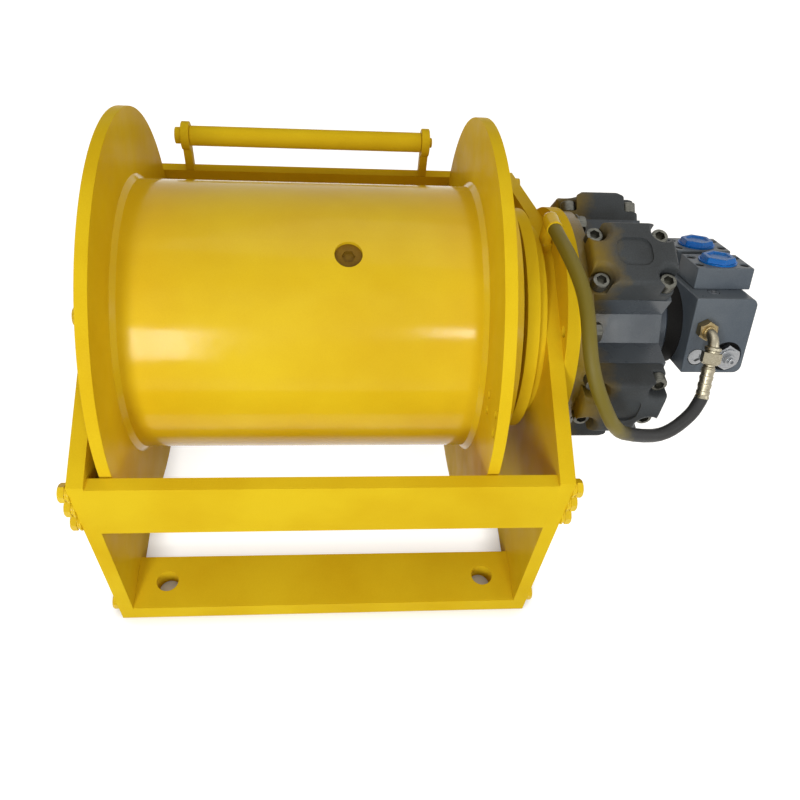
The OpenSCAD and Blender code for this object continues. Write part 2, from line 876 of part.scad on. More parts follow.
module sun_shaft() {
  color(steel) {
    on_axis(gear_x) gear(sun_teeth, gear_w, 0);
    on_axis(gear_x) cylinder(d = drive_shaft_d, h = shaft_split_x - gear_x);
  }
}

module planet_pins() {
  color(steel) on_axis(carrier_x) at_planets() cylinder(d = planet_pin_d, h = carrier_end - carrier_x);
}

// Places children at the screws that join the carrier and the sleeve
module at_carrier_screws() {
  for (i = [0:planet_count - 1], s = [-1, 1])
    rotate([0, 0, (i + 0.5) * 360 / planet_count + s * carrier_screw_swing])
    translate([carrier_screw_r, 0, 0])
      children();
}

module planet_carrier() {
  color(steel) difference() {
    union() {
      on_axis(carrier_x) ring(carrier_d, carrier_bore_d, carrier_plate_t);
      on_axis(carrier_end - carrier_plate_t) ring(carrier_d, carrier_bore_d, carrier_plate_t);
      on_axis(carrier_x) for (i = [0:planet_count - 1])
        rotate([0, 0, (i + 0.5) * 360 / planet_count]) translate([carrier_post_r, 0, 0])
          cylinder(d = carrier_post_d, h = carrier_end - carrier_x);
    }
    on_axis(carrier_x - over) at_planets()
      cylinder(d = planet_pin_d + 2 * run_gap, h = carrier_end - carrier_x + 2 * over);
    on_axis(carrier_end - carrier_plate_t - over) at_carrier_screws() {
      cylinder(d = carrier_screw_d + 2 * fit_gap, h = carrier_plate_t + 2 * over);
      cylinder(d = carrier_screw_head_d + 2 * fit_gap, h = carrier_screw_head_h + over + fit_gap);
    }
  }
}

module carrier_screws() {
  color(steel) on_axis(carrier_end - carrier_plate_t + carrier_screw_head_h + fit_gap) at_carrier_screws()
    mirror([0, 0, 1])
    socket_screw(carrier_screw_d, carrier_screw_head_d, carrier_screw_head_h, cap_screw_socket_af,
      carrier_screw_grip);
}

// Fixed sleeve that carries the gear and the drum bearing, with its flange, boss and spigot
module support_sleeve() {
  web_x = brake_x - sleeve_web_t;
  color(yellow) difference() {
    union() {
      on_axis(carrier_end) cylinder(d = drum_bearing_id, h = support_x - carrier_end);
      on_axis(support_x) cylinder(d = support_flange_d, h = support_flange_t);
      on_axis(support_boss_x) cylinder(d = support_boss_d, h = plate_in - support_boss_x);
      on_axis(plate_in) cylinder(d = spigot_d, h = side_plate_t);
    }
    on_axis(carrier_end - over) cylinder(d = sleeve_bore_d, h = web_x - carrier_end + over);
    on_axis(web_x - over) cylinder(d = drive_shaft_d + 2 * run_gap, h = sleeve_web_t + 2 * over);
    on_axis(brake_x) cylinder(d = brake_bore_d, h = plate_out - brake_x + over);
    on_axis(carrier_end - over) at_carrier_screws()
      cylinder(d = carrier_screw_d + 2 * fit_gap, h = carrier_screw_grip);
    housing_screw_holes();
  }
}

// Brake
module brake_hub() {
  color(steel) on_axis(brake_x + free_gap) ring(brake_hub_d, drive_shaft_d + 2 * run_gap,
    brake_piston_x - brake_x - 2 * free_gap);
}

module friction_discs() {
  color("#7a5a3a") for (i = [0:steel_plate_count - 2])
    on_axis(brake_x + free_gap + i * brake_stack_pitch + brake_plate_t + free_gap)
      ring(brake_bore_d - 2 * brake_edge_gap, brake_hub_d + 2 * free_gap, brake_plate_t);
}

module steel_plates() {
  color(steel) for (i = [0:steel_plate_count - 1])
    on_axis(brake_x + free_gap + i * brake_stack_pitch)
      ring(brake_bore_d - 2 * free_gap, brake_hub_d + 2 * steel_plate_gap, brake_plate_t);
}

module brake_piston() {
  color(steel) on_axis(brake_piston_x) ring(brake_bore_d - 2 * run_gap, brake_piston_id, brake_piston_t);
}

// Two disc springs, base to base
module brake_springs() {
  half_h = (plate_out - brake_piston_end) / 2 - free_gap / 2;
  cone_h = half_h - disc_spring_t;
  outer = brake_spring_d / 2;
  inner = brake_spring_id / 2;
  color(steel) for (s = [0, 1])
    on_axis(brake_piston_end + free_gap / 2 + half_h) mirror([0, 0, s]) rotate_extrude()
      polygon([[inner, cone_h], [outer, 0], [outer, disc_spring_t], [inner, cone_h + disc_spring_t]]);
}

// Motor mounting
module housing_screw_holes() {
  for (a = housing_screw_angles) radial(a) translate([0, 0, housing_screw_r]) rotate([0, 90, 0]) {
    translate([0, 0, plate_out - housing_screw_grip])
      cylinder(d = housing_screw_d + 2 * fit_gap, h = housing_screw_grip + mount_disc_t + over);
    translate([0, 0, disc_end - housing_screw_head_h - fit_gap])
      cylinder(d = housing_screw_head_d + 2 * fit_gap, h = housing_screw_head_h + fit_gap + over);
  }
}

module housing_screws() {
  color(steel) for (a = housing_screw_angles)
    radial(a) translate([disc_end - housing_screw_head_h - fit_gap, 0, housing_screw_r]) rotate([0, 90, 0])
      socket_screw(housing_screw_d, housing_screw_head_d, housing_screw_head_h, cap_screw_socket_af,
        mount_disc_t - housing_screw_head_h - fit_gap + housing_screw_grip);
}

module motor_bolt_holes() {
  for (a = cylinder_angles)
    radial(a + 180 / cylinder_count)
      translate([plate_out - over, 0, motor_bolt_circle / 2]) rotate([0, 90, 0])
      cylinder(d = motor_bolt_d + 2 * fit_gap, h = flange_end - plate_out + 2 * over);
}

module mount_disc() {
  color(yellow) difference() {
    on_axis(plate_out) cylinder(d = mount_disc_d, h = mount_disc_t);
    on_axis(plate_out - over) cylinder(d = drive_shaft_d + 2 * carrier_clear, h = mount_disc_t + 2 * over);
    housing_screw_holes();
    motor_bolt_holes();
  }
}

module motor_flange_bolts() {
  color(steel) for (a = cylinder_angles)
    radial(a + 180 / cylinder_count) translate([flange_end, 0, motor_bolt_circle / 2]) rotate([0, 90, 0])
      hex_bolt(motor_bolt_d, motor_bolt_af, motor_bolt_head_h, motor_washer_d, motor_washer_t,
        flange_end - plate_out);
}

// Motor
module motor_crankcase() {
  color(dark) difference() {
    union() {
      on_axis(disc_end) cylinder(d = motor_flange_d, h = motor_flange_t);
      on_axis(flange_end)
        cylinder(r = crankcase_core_r, h = crankcase_end - flange_end, $fn = crankcase_core_sides);
      for (a = cylinder_angles) radial(a)
        translate([motor_x - cap_l / 2 + motor_flange_t / 2, -cap_w / 2, crankcase_core_r / 2])
          cube([cap_l - motor_flange_t / 2 - arm_setback, cap_w, cap_seat_r - crankcase_core_r / 2]);
    }
    on_axis(disc_end - over) cylinder(d = crank_bearing_d, h = crankcase_end - disc_end + 2 * over);
    on_axis(crank_cavity_x) cylinder(d = crank_cavity_d, h = crank_cavity_l);
    for (a = cylinder_angles) radial(a) translate([motor_x, 0, 0])
      cylinder(d = cylinder_bore_d, h = cap_seat_r + over);
    cap_screw_holes(cap_screw_grip);
    for (a = cylinder_angles) radial(a) at_cap_corners() translate([0, 0, cap_face_r - cap_corner_depth])
      cylinder(d = cap_screw_head_d + 2 * free_gap, h = cap_screw_head_h);
    motor_bolt_holes();
  }
}

module crank_bearings() {
  color(brass) for (x = [crank_front_bearing_x, crank_rear_bearing_x])
    on_axis(x) ring(crank_bearing_d, drive_shaft_d + 2 * run_gap, crank_bearing_w);
}

module crankshaft() {
  shaft_x = shaft_split_x + shaft_split_gap;
  web_l = crank_cavity_l - 2 * crank_web_gap;
  color(steel) {
    on_axis(shaft_x) cylinder(d = drive_shaft_d, h = crankcase_end - shaft_x);
    on_axis(crank_cavity_x + crank_web_gap) translate([eccentric_throw, 0, 0])
      cylinder(d = eccentric_d, h = web_l);
  }
}

module pistons() {
  color(steel) for (a = cylinder_angles) radial(a) translate([motor_x, 0, piston_foot_r])
    cylinder(d = cylinder_bore_d - 2 * run_gap, h = piston_l);
}

// Places children at the four corners of one cap, z outwards
module at_cap_corners() {
  for (sx = [-1, 1], sy = [-1, 1]) translate([motor_x + sx * cap_screw_x, sy * cap_screw_y, 0]) children();
}

module cap_screw_holes(depth) {
  for (a = cylinder_angles)
    radial(a) at_cap_corners() translate([0, 0, cap_face_r - cap_corner_depth - depth])
    cylinder(d = cap_screw_d + 2 * fit_gap, h = depth);
}

module cylinder_cap(i) {
  corner_z = cap_face_r - cap_corner_depth;
  color(dark) difference() {
    radial(cylinder_angles[i]) difference() {
      translate([motor_x, 0, cap_seat_r]) rounded_plate(cap_l, cap_w, cap_t, cap_round_r);
      for (sx = [-1, 1], sy = [-1, 1]) translate([motor_x + sx * cap_screw_x, sy * cap_screw_y, corner_z]) {
        cylinder(d = cap_corner_d, h = cap_corner_depth + over);
        translate([sx > 0 ? 0 : -cap_screw_inset - over, sy > 0 ? 0 : -cap_screw_inset - over, 0])
          cube([cap_screw_inset + over, cap_screw_inset + over, cap_corner_depth + over]);
      }
      translate([motor_x, 0, cap_face_r - cap_recess_depth])
        rounded_plate(cap_recess_l, cap_recess_w, cap_recess_depth + over, cap_recess_r);
      at_cap_corners() translate([0, 0, cap_seat_r - over])
        cylinder(d = cap_screw_d + 2 * fit_gap, h = cap_t);
    }
    on_axis(disc_end) cylinder(d = motor_flange_d + 2 * free_gap, h = motor_flange_t + free_gap);
  }
}

module cylinder_cap_1() {
  cylinder_cap(0);
}

module cylinder_cap_2() {
  cylinder_cap(1);
}

module cylinder_cap_3() {
  cylinder_cap(2);
}

module cylinder_cap_4() {
  cylinder_cap(3);
}

module cylinder_cap_5() {
  cylinder_cap(4);
}

module cap_screws() {
  color(steel) for (a = cylinder_angles) radial(a) at_cap_corners()
    translate([0, 0, cap_face_r - cap_corner_depth])
      socket_screw(cap_screw_d, cap_screw_head_d, cap_screw_head_h, cap_screw_socket_af,
        cap_screw_grip - fit_gap);
}

// Distributor behind the crankcase, with the valve rotor inside
module distributor_housing() {
  color(dark) on_axis(distributor_x) difference() {
    cylinder(d = distributor_d, h = distributor_l);
    translate([0, 0, -over])
      cylinder(d = valve_rotor_d + 2 * run_gap, h = distributor_l - valve_rotor_slack + over);
  }
}

module valve_rotor() {
  color(steel) on_axis(distributor_x) cylinder(d = valve_rotor_d, h = distributor_l - 2 * valve_rotor_slack);
}

// Valve block: x along the axis from its near end, y up its face, z out of its front face
module at_block() {
  radial(block_tilt) translate([block_x, 0, 0]) children();
}

module valve_block() {
  color(bluegrey) at_block() difference() {
    translate([0, -block_bottom, -block_back])
      cube([block_l, block_bottom + block_top, block_back + block_front]);
    for (n = port_places)
      translate([port_x - block_x, block_top - port_depth + port_flange_h, n]) rotate([-90, 0, 0])
      cylinder(d = port_bore_d, h = port_depth);
    translate([relief_x, relief_t, block_front - relief_bore_depth])
      cylinder(d = relief_bore_d, h = relief_bore_depth + over);
    at_block_screws() cylinder(d = block_screw_d + 2 * fit_gap, h = block_screw_sink + over);
    at_top_screw() cylinder(d = top_screw_d + 2 * fit_gap, h = block_screw_sink + over);
  }
}

// Places children in the floor of the screw seat in the front face of the block, and of the one in its top
module at_block_screws() {
  translate([block_screw_x, block_screw_t, block_front - block_screw_sink]) children();
}

module at_top_screw() {
  translate([top_screw_x, block_top - block_screw_sink, top_screw_n]) rotate([-90, 0, 0]) children();
}

module sunk_screw(d) {
  difference() {
    cylinder(d = d, h = block_screw_sink);
    translate([0, 0, block_screw_sink / 2]) hex(d / 2, block_screw_sink);
  }
}

module valve_block_screws() {
  color(steel) at_block() {
    at_block_screws() sunk_screw(block_screw_d);
    at_top_screw() sunk_screw(top_screw_d);
  }
}

module port_block(n) {
  color(bluegrey) at_block() translate([port_x - block_x, block_top, n]) rotate([-90, 0, 0]) difference() {
    translate([-port_flange_l / 2, -port_flange_w / 2, 0])
      cube([port_flange_l, port_flange_w, port_flange_h]);
    translate([0, 0, -over]) cylinder(d = port_bore_d, h = port_flange_h + 2 * over);
    for (sx = [-1, 1], sy = [-1, 1])
      translate([sx * port_screw_pitch_long / 2, sy * port_screw_pitch_short / 2,
        port_flange_h - port_screw_depth])
        cylinder(d = port_screw_d, h = port_screw_depth + over);
  }
}

module port_block_near() {
  port_block(port_places[0]);
}

module port_block_rear() {
  port_block(port_places[1]);
}

module port_plugs() {
  color("#1f6fd0") at_block() for (n = port_places)
    translate([port_x - block_x, block_top + port_flange_h, n]) rotate([-90, 0, 0]) {
      hex(port_plug_d, port_plug_h);
      translate([0, 0, -port_plug_stem_l]) cylinder(d = port_plug_stem_d, h = port_plug_stem_l);
    }
}

module relief_cartridge() {
  color(steel) at_block() translate([relief_x, relief_t, block_front - relief_bore_depth]) {
    hex(relief_af, relief_hex_l);
    cylinder(d = relief_stem_d, h = relief_l);
  }
}

// Point on the tilted block frame as a point in space
function block_point(x, t, n) = [
  block_x + x,
  -n * cos(block_tilt) + t * sin(block_tilt),
  axis_h + n * sin(block_tilt) + t * cos(block_tilt)
];

hose_elbow = block_point(adapter_x, adapter_t, block_front + adapter_reach);

module hose_fittings() {
  elbow = hose_elbow;
  start = hose_route[0];
  way = (start - elbow) / norm(start - elbow);
  last = hose_route[len(hose_route) - 1];
  color(brass) {
    at_block() translate([adapter_x, adapter_t, block_front]) {
      hex(adapter_af, adapter_hex_h);
      cylinder(d = adapter_tube_d, h = adapter_reach);
    }
    translate(elbow) sphere(d = elbow_d);
    rod(elbow, elbow + way * hose_nut_to, adapter_tube_d);
  }
  color(steel) {
    hex_rod(elbow + way * hose_nut_from, elbow + way * hose_nut_to, hose_nut_af);
    rod(elbow + way * hose_nut_to, start, ferrule_d);
    rod(last, plate_fitting, ferrule_d);
    translate(plate_fitting) sphere(d = plate_fitting_d);
    translate([plate_fitting.x, plate_fitting.y, axis_h + plate_top_rise])
      cylinder(d = plate_stub_d, h = plate_fitting.z - axis_h - plate_top_rise);
  }
}

// Smooth points along the hose route
function spline(a, b, c, d, t) =
  0.5 * (2 * b + (c - a) * t + (2 * a - 5 * b + 4 * c - d) * t * t + (3 * b - a - 3 * c + d) * t * t * t);
function smooth_route(p) =
  let (last = len(p) - 1)
  concat([for (i = [0:last - 1], k = [0:hose_steps - 1])
    spline(p[max(i - 1, 0)], p[i], p[i + 1], p[min(i + 2, last)], k / hose_steps)], [p[last]]);

// A tube swept along points, closed at both ends
module swept_tube(points, d, sides, start_way, end_way) {
  n = len(points);
  rings = [for (i = [0:n - 1])
    let (
      way = i == 0 ? start_way : i == n - 1 ? end_way : points[i + 1] - points[i - 1],
      u = cross(way, [0, 1, 0]) / norm(cross(way, [0, 1, 0])),
      v = cross(u, way) / norm(way)
    )
    for (k = [0:sides - 1]) points[i] + d / 2 * (cos(k * 360 / sides) * u + sin(k * 360 / sides) * v)];
  walls = [for (i = [0:n - 2], k = [0:sides - 1])
    let (a = i * sides + k, b = i * sides + (k + 1) % sides)
    each [[a, b, b + sides], [a, b + sides, a + sides]]];
  first = [for (k = [sides - 1:-1:0]) k];
  final = [for (k = [0:sides - 1]) (n - 1) * sides + k];
  polyhedron(points = rings, faces = concat([first], walls, [final]), convexity = 6);
}

module brake_hose() {
  color(black) swept_tube(smooth_route(hose_route), hose_d, hose_sides, hose_route[0] - hose_elbow,
    plate_fitting - hose_route[len(hose_route) - 1]);
}

side_plate_left();
side_plate_right();
front_beam();
rear_beam();
base_plate_front();
base_plate_rear();
frame_bolts();
guard_lugs();
guard_tube();
guard_pin();
drum_barrel();
drum_flange_left();
drum_flange_right();
drum_hub();
drum_plug();
bearing_carrier();
ring_gear();
drum_bearing_inner();
drum_bearing_outer();
left_bearing_outer();
left_bearing_inner();
left_bearing_housing();
left_bearing_cover();
left_housing_bolts();
support_sleeve();
planet_carrier();
planet_pins();
carrier_screws();
planet_gear_1();
planet_gear_2();
planet_gear_3();
sun_shaft();
brake_hub();
friction_discs();
steel_plates();
brake_piston();
brake_springs();
mount_disc();
housing_screws();
motor_crankcase();
motor_flange_bolts();
crankshaft();
crank_bearings();
pistons();
cylinder_cap_1();
cylinder_cap_2();
cylinder_cap_3();
cylinder_cap_4();
cylinder_cap_5();
cap_screws();
distributor_housing();
valve_rotor();
valve_block();
valve_block_screws();
port_block_near();
port_block_rear();
port_plugs();
relief_cartridge();
hose_fittings();
brake_hose();
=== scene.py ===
"""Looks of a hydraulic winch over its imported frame: enamel, cast motor, valve block, hose and stage."""

import json
import math

import bpy
from mathutils import Matrix, Vector


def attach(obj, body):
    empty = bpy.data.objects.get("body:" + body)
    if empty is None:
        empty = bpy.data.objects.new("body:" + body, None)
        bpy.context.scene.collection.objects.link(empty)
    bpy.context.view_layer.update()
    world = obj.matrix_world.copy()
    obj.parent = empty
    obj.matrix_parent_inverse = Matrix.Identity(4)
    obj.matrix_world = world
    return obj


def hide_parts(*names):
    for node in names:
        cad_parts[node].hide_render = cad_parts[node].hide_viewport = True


bl_info = {
    "name": "Hydraulic winch",
    "version": (1, 0, 0),
    "blender": (4, 5, 0),
    "location": "View3D > Sidebar > Winch",
    "description": "Finishes the packed winch: painted frame and drum, motor, valve block, hose and stage",
    "category": "Object",
}

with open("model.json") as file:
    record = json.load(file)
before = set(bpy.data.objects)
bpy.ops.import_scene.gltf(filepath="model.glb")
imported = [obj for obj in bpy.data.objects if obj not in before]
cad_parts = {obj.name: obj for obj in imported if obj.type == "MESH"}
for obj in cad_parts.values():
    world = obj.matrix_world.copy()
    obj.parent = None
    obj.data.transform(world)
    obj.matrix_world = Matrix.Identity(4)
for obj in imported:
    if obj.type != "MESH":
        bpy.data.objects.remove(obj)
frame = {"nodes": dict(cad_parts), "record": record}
NODES = frame["nodes"]
BODIES = frame["record"]["behaviour"]["bodies"]
SLOTS = {row["node"]: row["material_slot"] for row in frame["record"]["subparts"]}
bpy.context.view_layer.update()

MM = 0.001
AXIS_HEIGHT = 278 * MM
PLATE_OUT = 246 * MM
PLATE_TOP = 372 * MM

# Frame bolts: depth and top of each beam, steps between bolts and their place in the base plates, in mm
BEAM_PLACES = ((-232, 281), (232, 314))
BEAM_MIDDLE = 40
BEAM_BOLT_STEP = 26
BASE_BOLT_Y = 205
BASE_BOLT_STEP = 17
BASE_BOLT_Z = 12.5
WASHER_HEIGHT = 4.5 * MM

# Bolts of the left bearing housing
LEFT_BOLTS = 3
LEFT_BOLT_ANGLE = 43
LEFT_BOLT_RADIUS = 88 * MM

# Cylinder caps: heights are measured from the drum axis
CYLINDER_X = 316 * MM
CYLINDER_ANGLES = [2, 74, 146, 218, 290]
CAP_LENGTH = 92 * MM
CAP_WIDTH = 76 * MM
CAP_CORNER = 8 * MM
CAP_LOW = 109.5 * MM
CAP_SEAT = 120.5 * MM
CAP_FACE = 144 * MM
CAP_SCREW_X = 35.7 * MM
CAP_SCREW_Y = 27.7 * MM
SEAT_RADIUS = 12.2 * MM
SEAT_MOUTH = 17 * MM
SEAT_OPENING = 16 * MM
RECESS_LENGTH = 38 * MM
RECESS_WIDTH = 34 * MM
RECESS_CORNER = 12 * MM
RECESS_DEPTH = 2.4 * MM
CAST_GRID = 1.3 * MM
CAST_SMOOTHING = 9
CASE_RADIUS = 125.3 * MM
CASE_BACK = 80.7 * MM
WIDE = 100 * MM

# Bolts of the motor flange, midway between the caps
MOTOR_BOLT_TURN = 36
MOTOR_BOLT_X = 275 * MM
MOTOR_BOLT_RADIUS = 115 * MM

# Distributor: rows of height and radius in mm, from the end of the crankcase
CRANKCASE_END = 362.7 * MM
RIM_PROFILE = ((0, 54), (2, 56), (8, 56), (9, 54.6), (11, 54.6), (12, 56), (20, 56), (23, 52))
NECK_RADIUS = 50 * MM

# Valve block: lengths from its foot, heights and depths from its own axis
BLOCK_START = 404.7 * MM
BLOCK_TILT = 22
BLOCK_LENGTH = 71 * MM
BLOCK_FRONT = 70 * MM
BLOCK_BACK = 88 * MM
BLOCK_TOP = 55 * MM
BLOCK_BOTTOM = 36 * MM
FRONT_SCREW = (14 * MM, -16 * MM)
TOP_SCREW = (27 * MM, 48.5 * MM)
SCREW_SINK = 3 * MM
RELIEF = (49 * MM, -15 * MM)
RELIEF_SINK = 5 * MM
POCKET_HEIGHT = 20 * MM
FLOOR_HEIGHT = 0.4 * MM

# Port flanges and their screw pattern
PORT_PLACES = [16 * MM, -46 * MM]
PORT_X = 40 * MM
FLANGE_X = 33 * MM
FLANGE_Y = 25 * MM
FLANGE_HEIGHT = 25 * MM
PORT_SCREW_X = 26.2 * MM
PORT_SCREW_Y = 13.1 * MM
PORT_HOLE_RADIUS = 4.6 * MM
PORT_HOLE_DEPTH = 18 * MM
COUNTERSINK_RADIUS = 6.2 * MM
COUNTERSINK_DEPTH = 1.4 * MM

# Brake hose and its fittings: the route and the turned rows of height and radius are in mm
HOSE_ROUTE = [
    (412.5, -123, 281.2), (409, -128, 276.1), (399.4, -137.7, 267.3), (377.8, -151.3, 259.1),
    (353.3, -160.1, 259.4), (312.6, -172, 279.8), (294.3, -177.2, 300.5), (285, -177.8, 314.7),
    (272.7, -173.1, 335.9), (263.6, -163.3, 354.3), (257.9, -150.2, 370.4), (255.5, -134.5, 384.8),
    (254.7, -118.1, 395.9), (253.1, -98.2, 405.7), (249.8, -80.3, 412.4), (245.2, -60.4, 417.2),
    (240.8, -39.1, 419.1), (237, -6.6, 416.2),
]
ADAPTER = (16 * MM, 20 * MM)
ADAPTER_REACH = 28 * MM
ELBOW_FOOT = 13 * MM
ELBOW_END = 15 * MM
ELBOW_RADIUS = 6 * MM
ELBOW_STEPS = 10
COLLAR_PROFILE = ((9, 6.5), (10, 8.8), (13, 9.2), (14, 7.8), (16, 7.8))
NUT_START = 16 * MM
SLEEVE_PROFILE = ((28, 6), (31, 6), (32, 6.8))
SLEEVE_START = 32 * MM
CRIMPS = 4
UPPER_FITTING = (237.5 * MM, 16 * MM, 411 * MM)

# Finishes: scales of the slow drift, the mist and the dull patches, and the reach of the mist's ragged edge
DRIFT_SCALE = 9.0
MIST_SCALE = 40.0
GLOSS_SCALE = 35.0
MIST_EDGE = 8 * MM
GRAIN_DEPTH = 0.03 * MM

# Base colour and shade of the finishes that have no property
# The crankcase greys are lighter than the motor paint: painted reflection on its smooth facets
CASE_SHEEN_GREYS = ((0.055, 0.064, 0.078), (0.10, 0.115, 0.135))
FITTING_TONES = ((0.40, 0.36, 0.27), (0.20, 0.17, 0.11))
BRONZE_TONES = ((0.50, 0.31, 0.12), (0.34, 0.19, 0.07))
LINING_TONES = ((0.10, 0.065, 0.04), (0.05, 0.03, 0.02))
BRASS_TONES = ((0.40, 0.31, 0.16), (0.22, 0.16, 0.07))
SCREW_TONES = ((0.17, 0.165, 0.14), (0.05, 0.05, 0.045))
RIM_TONES = ((0.022, 0.029, 0.040), (0.045, 0.058, 0.078))
# Dark brown of the drum's oil plug: painted shade of the hole it sits in
DRUM_PLUG_SHADE_TONES = ((0.26, 0.15, 0.012), (0.12, 0.06, 0.006))
# Near black of the hole floors and of the distributor's groove: painted shade
PAINTED_SHADE_BLACKS = ((0.010, 0.010, 0.011), (0.02, 0.019, 0.018))
PLUG_SHADE = (0.004, 0.10, 0.42)
RUBBER_SHADE = (0.035, 0.035, 0.036)

# Camera: pitch, yaw and roll in degrees, place in mm, and lens for a sensor 36 wide
CAMERA_TURN = (50.412, -8.329, 6.492)
CAMERA_PLACE = (-2.905, -670.364, 944.106)
CAMERA_LENS = 36.3286
SENSOR_WIDTH = 36

# Floor and world
FLOOR_SIZE = 12
FLOOR_DROP = 0.5 * MM
FLOOR_GREY = 0.6
FLOOR_GLOW = 0.85
# Reach of the painted shade that dims the floor's glow near the parts
PAINTED_SHADE_REACH = 40 * MM
WORLD_TINT = (1.0, 0.82, 0.58)
WORLD_LEVEL = 0.27
WHITE = (1, 1, 1)

# Lamps: name, place, target, size in metres and power in watts
LAMPS = (
    ("left_window", (-0.60, -1.95, 1.05), (-0.18, 0, 0.34), (0.34, 0.9), 22),
    ("right_window", (0.48, -1.80, 1.42), (0.14, 0, 0.34), (0.2, 0.25), 6),
    ("motor_window", (0.93, -1.62, 1.13), (0.31, -0.1, 0.31), (0.2, 0.4), 1.6),
    ("front", (0, -1.5, 1.8), (0, 0, 0.3), (1.5, 1.5), 3),
    ("top", (0.3, 0.6, 2.2), (0, 0, 0.3), (1.4, 1.4), 7),
    ("left", (-1.8, 0.5, 1.1), (-0.2, 0, 0.3), (0.9, 0.9), 4),
    ("side", (1.7, -0.7, 1.1), (0.2, 0, 0.3), (0.9, 0.9), 5),
)
LAMP_COLOUR = (0.97, 1.0, 0.99)


class WinchSizes(bpy.types.PropertyGroup):
    """Sizes of the small shapes that the scene adds"""

    plate_edge: bpy.props.FloatProperty(
        name="Plate edge", description="Rounding of the cut plate edges", default=1.0 * MM, unit="LENGTH")
    ring_edge: bpy.props.FloatProperty(
        name="Ring edge", description="Rounding of the turned edges", default=0.8 * MM, unit="LENGTH")
    block_edge: bpy.props.FloatProperty(
        name="Block edge", description="Rounding of the milled block edges", default=1.6 * MM, unit="LENGTH")
    block_corner: bpy.props.FloatProperty(
        name="Block corner", description="Radius of the outer corners of the valve block",
        default=9 * MM, unit="LENGTH")
    cap_round: bpy.props.FloatProperty(
        name="Cap rounding", description="Rounding of the raised face of a cylinder cap",
        default=5.0 * MM, unit="LENGTH")
    bolt_size: bpy.props.FloatProperty(
        name="Bolt size", description="Size of a frame bolt head across its flats",
        default=17 * MM, unit="LENGTH")
    bolt_head: bpy.props.FloatProperty(
        name="Bolt head", description="Height of a frame bolt head", default=6.4 * MM, unit="LENGTH")
    left_bolt_size: bpy.props.FloatProperty(
        name="Left bolt size", description="Size of a left housing bolt head across its flats",
        default=19 * MM, unit="LENGTH")
    left_bolt_head: bpy.props.FloatProperty(
        name="Left bolt head", description="Height of a left housing bolt head",
        default=8 * MM, unit="LENGTH")
    washer_size: bpy.props.FloatProperty(
        name="Washer size", description="Diameter of a frame bolt washer", default=20 * MM, unit="LENGTH")
    hose_size: bpy.props.FloatProperty(
        name="Hose size", description="Outer diameter of the brake hose", default=15 * MM, unit="LENGTH")
    hose_length: bpy.props.FloatProperty(
        name="Hose length", description="Length of the brake hose between its ferrules",
        default=0.4, unit="LENGTH")


class WinchColours(bpy.types.PropertyGroup):
    """Colours of the finishes, as linear light"""

    enamel: bpy.props.FloatVectorProperty(
        name="Enamel", description="Yellow enamel of the frame and drum",
        subtype="COLOR", size=3, default=(0.80, 0.57, 0.018))
    enamel_shade: bpy.props.FloatVectorProperty(
        name="Enamel shade", description="Thicker, darker places of the enamel",
        subtype="COLOR", size=3, default=(0.70, 0.45, 0.010))
    motor: bpy.props.FloatVectorProperty(
        name="Motor paint", description="Dark grey paint of the motor",
        subtype="COLOR", size=3, default=(0.030, 0.032, 0.034))
    motor_light: bpy.props.FloatVectorProperty(
        name="Motor bloom", description="Lighter bloom on the motor paint",
        subtype="COLOR", size=3, default=(0.075, 0.084, 0.094))
    block: bpy.props.FloatVectorProperty(
        name="Block paint", description="Blue-grey finish of the valve block",
        subtype="COLOR", size=3, default=(0.070, 0.088, 0.116))
    block_light: bpy.props.FloatVectorProperty(
        name="Block bloom", description="Lighter places of the valve block",
        subtype="COLOR", size=3, default=(0.14, 0.16, 0.185))
    steel: bpy.props.FloatVectorProperty(
        name="Steel", description="Plated and machined steel",
        subtype="COLOR", size=3, default=(0.40, 0.41, 0.42))
    steel_shade: bpy.props.FloatVectorProperty(
        name="Steel shade", description="Darker grain of the steel",
        subtype="COLOR", size=3, default=(0.21, 0.21, 0.22))
    plug: bpy.props.FloatVectorProperty(
        name="Plug", description="Blue plastic of the port plugs",
        subtype="COLOR", size=3, default=(0.004, 0.17, 0.55))
    rubber: bpy.props.FloatVectorProperty(
        name="Rubber", description="Black cover of the hose",
        subtype="COLOR", size=3, default=(0.018, 0.018, 0.019))
    hose_overspray: bpy.props.FloatVectorProperty(
        name="Hose overspray", description="Thicker mist of enamel on the hose",
        subtype="COLOR", size=3, default=(0.16, 0.125, 0.012))
    overspray: bpy.props.FloatVectorProperty(
        name="Overspray", description="Olive mist of enamel over dark parts",
        subtype="COLOR", size=3, default=(0.21, 0.14, 0.016))


def sizes():
    return bpy.context.scene.winch_sizes


def colours():
    return bpy.context.scene.winch_colours


# Selecting and shaping
def pick(*objects):
    bpy.ops.object.select_all(action="DESELECT")
    for item in objects:
        item.select_set(True)
    bpy.context.view_layer.objects.active = objects[0]


def add_object(name, data):
    item = bpy.data.objects.new(name, data)
    bpy.context.scene.collection.objects.link(item)
    return item


def named(name):
    """Names the active object and its data."""
    item = bpy.context.active_object
    item.name = name
    item.data.name = name
    return item


def settle(item):
    """Moves the object's place and scale into its mesh."""
    pick(item)
    bpy.ops.object.transform_apply(location=True, rotation=True, scale=True)
    return item


def place(item, matrix):
    """Moves an object and settles it there."""
    item.matrix_world = matrix @ item.matrix_world
    return settle(item)


def modify(item, kind, **values):
    """Adds a modifier and applies it."""
    modifier = item.modifiers.new(kind.title(), kind)
    for key, value in values.items():
        setattr(modifier, key, value)
    pick(item)
    bpy.ops.object.modifier_apply(modifier=modifier.name)
    return item


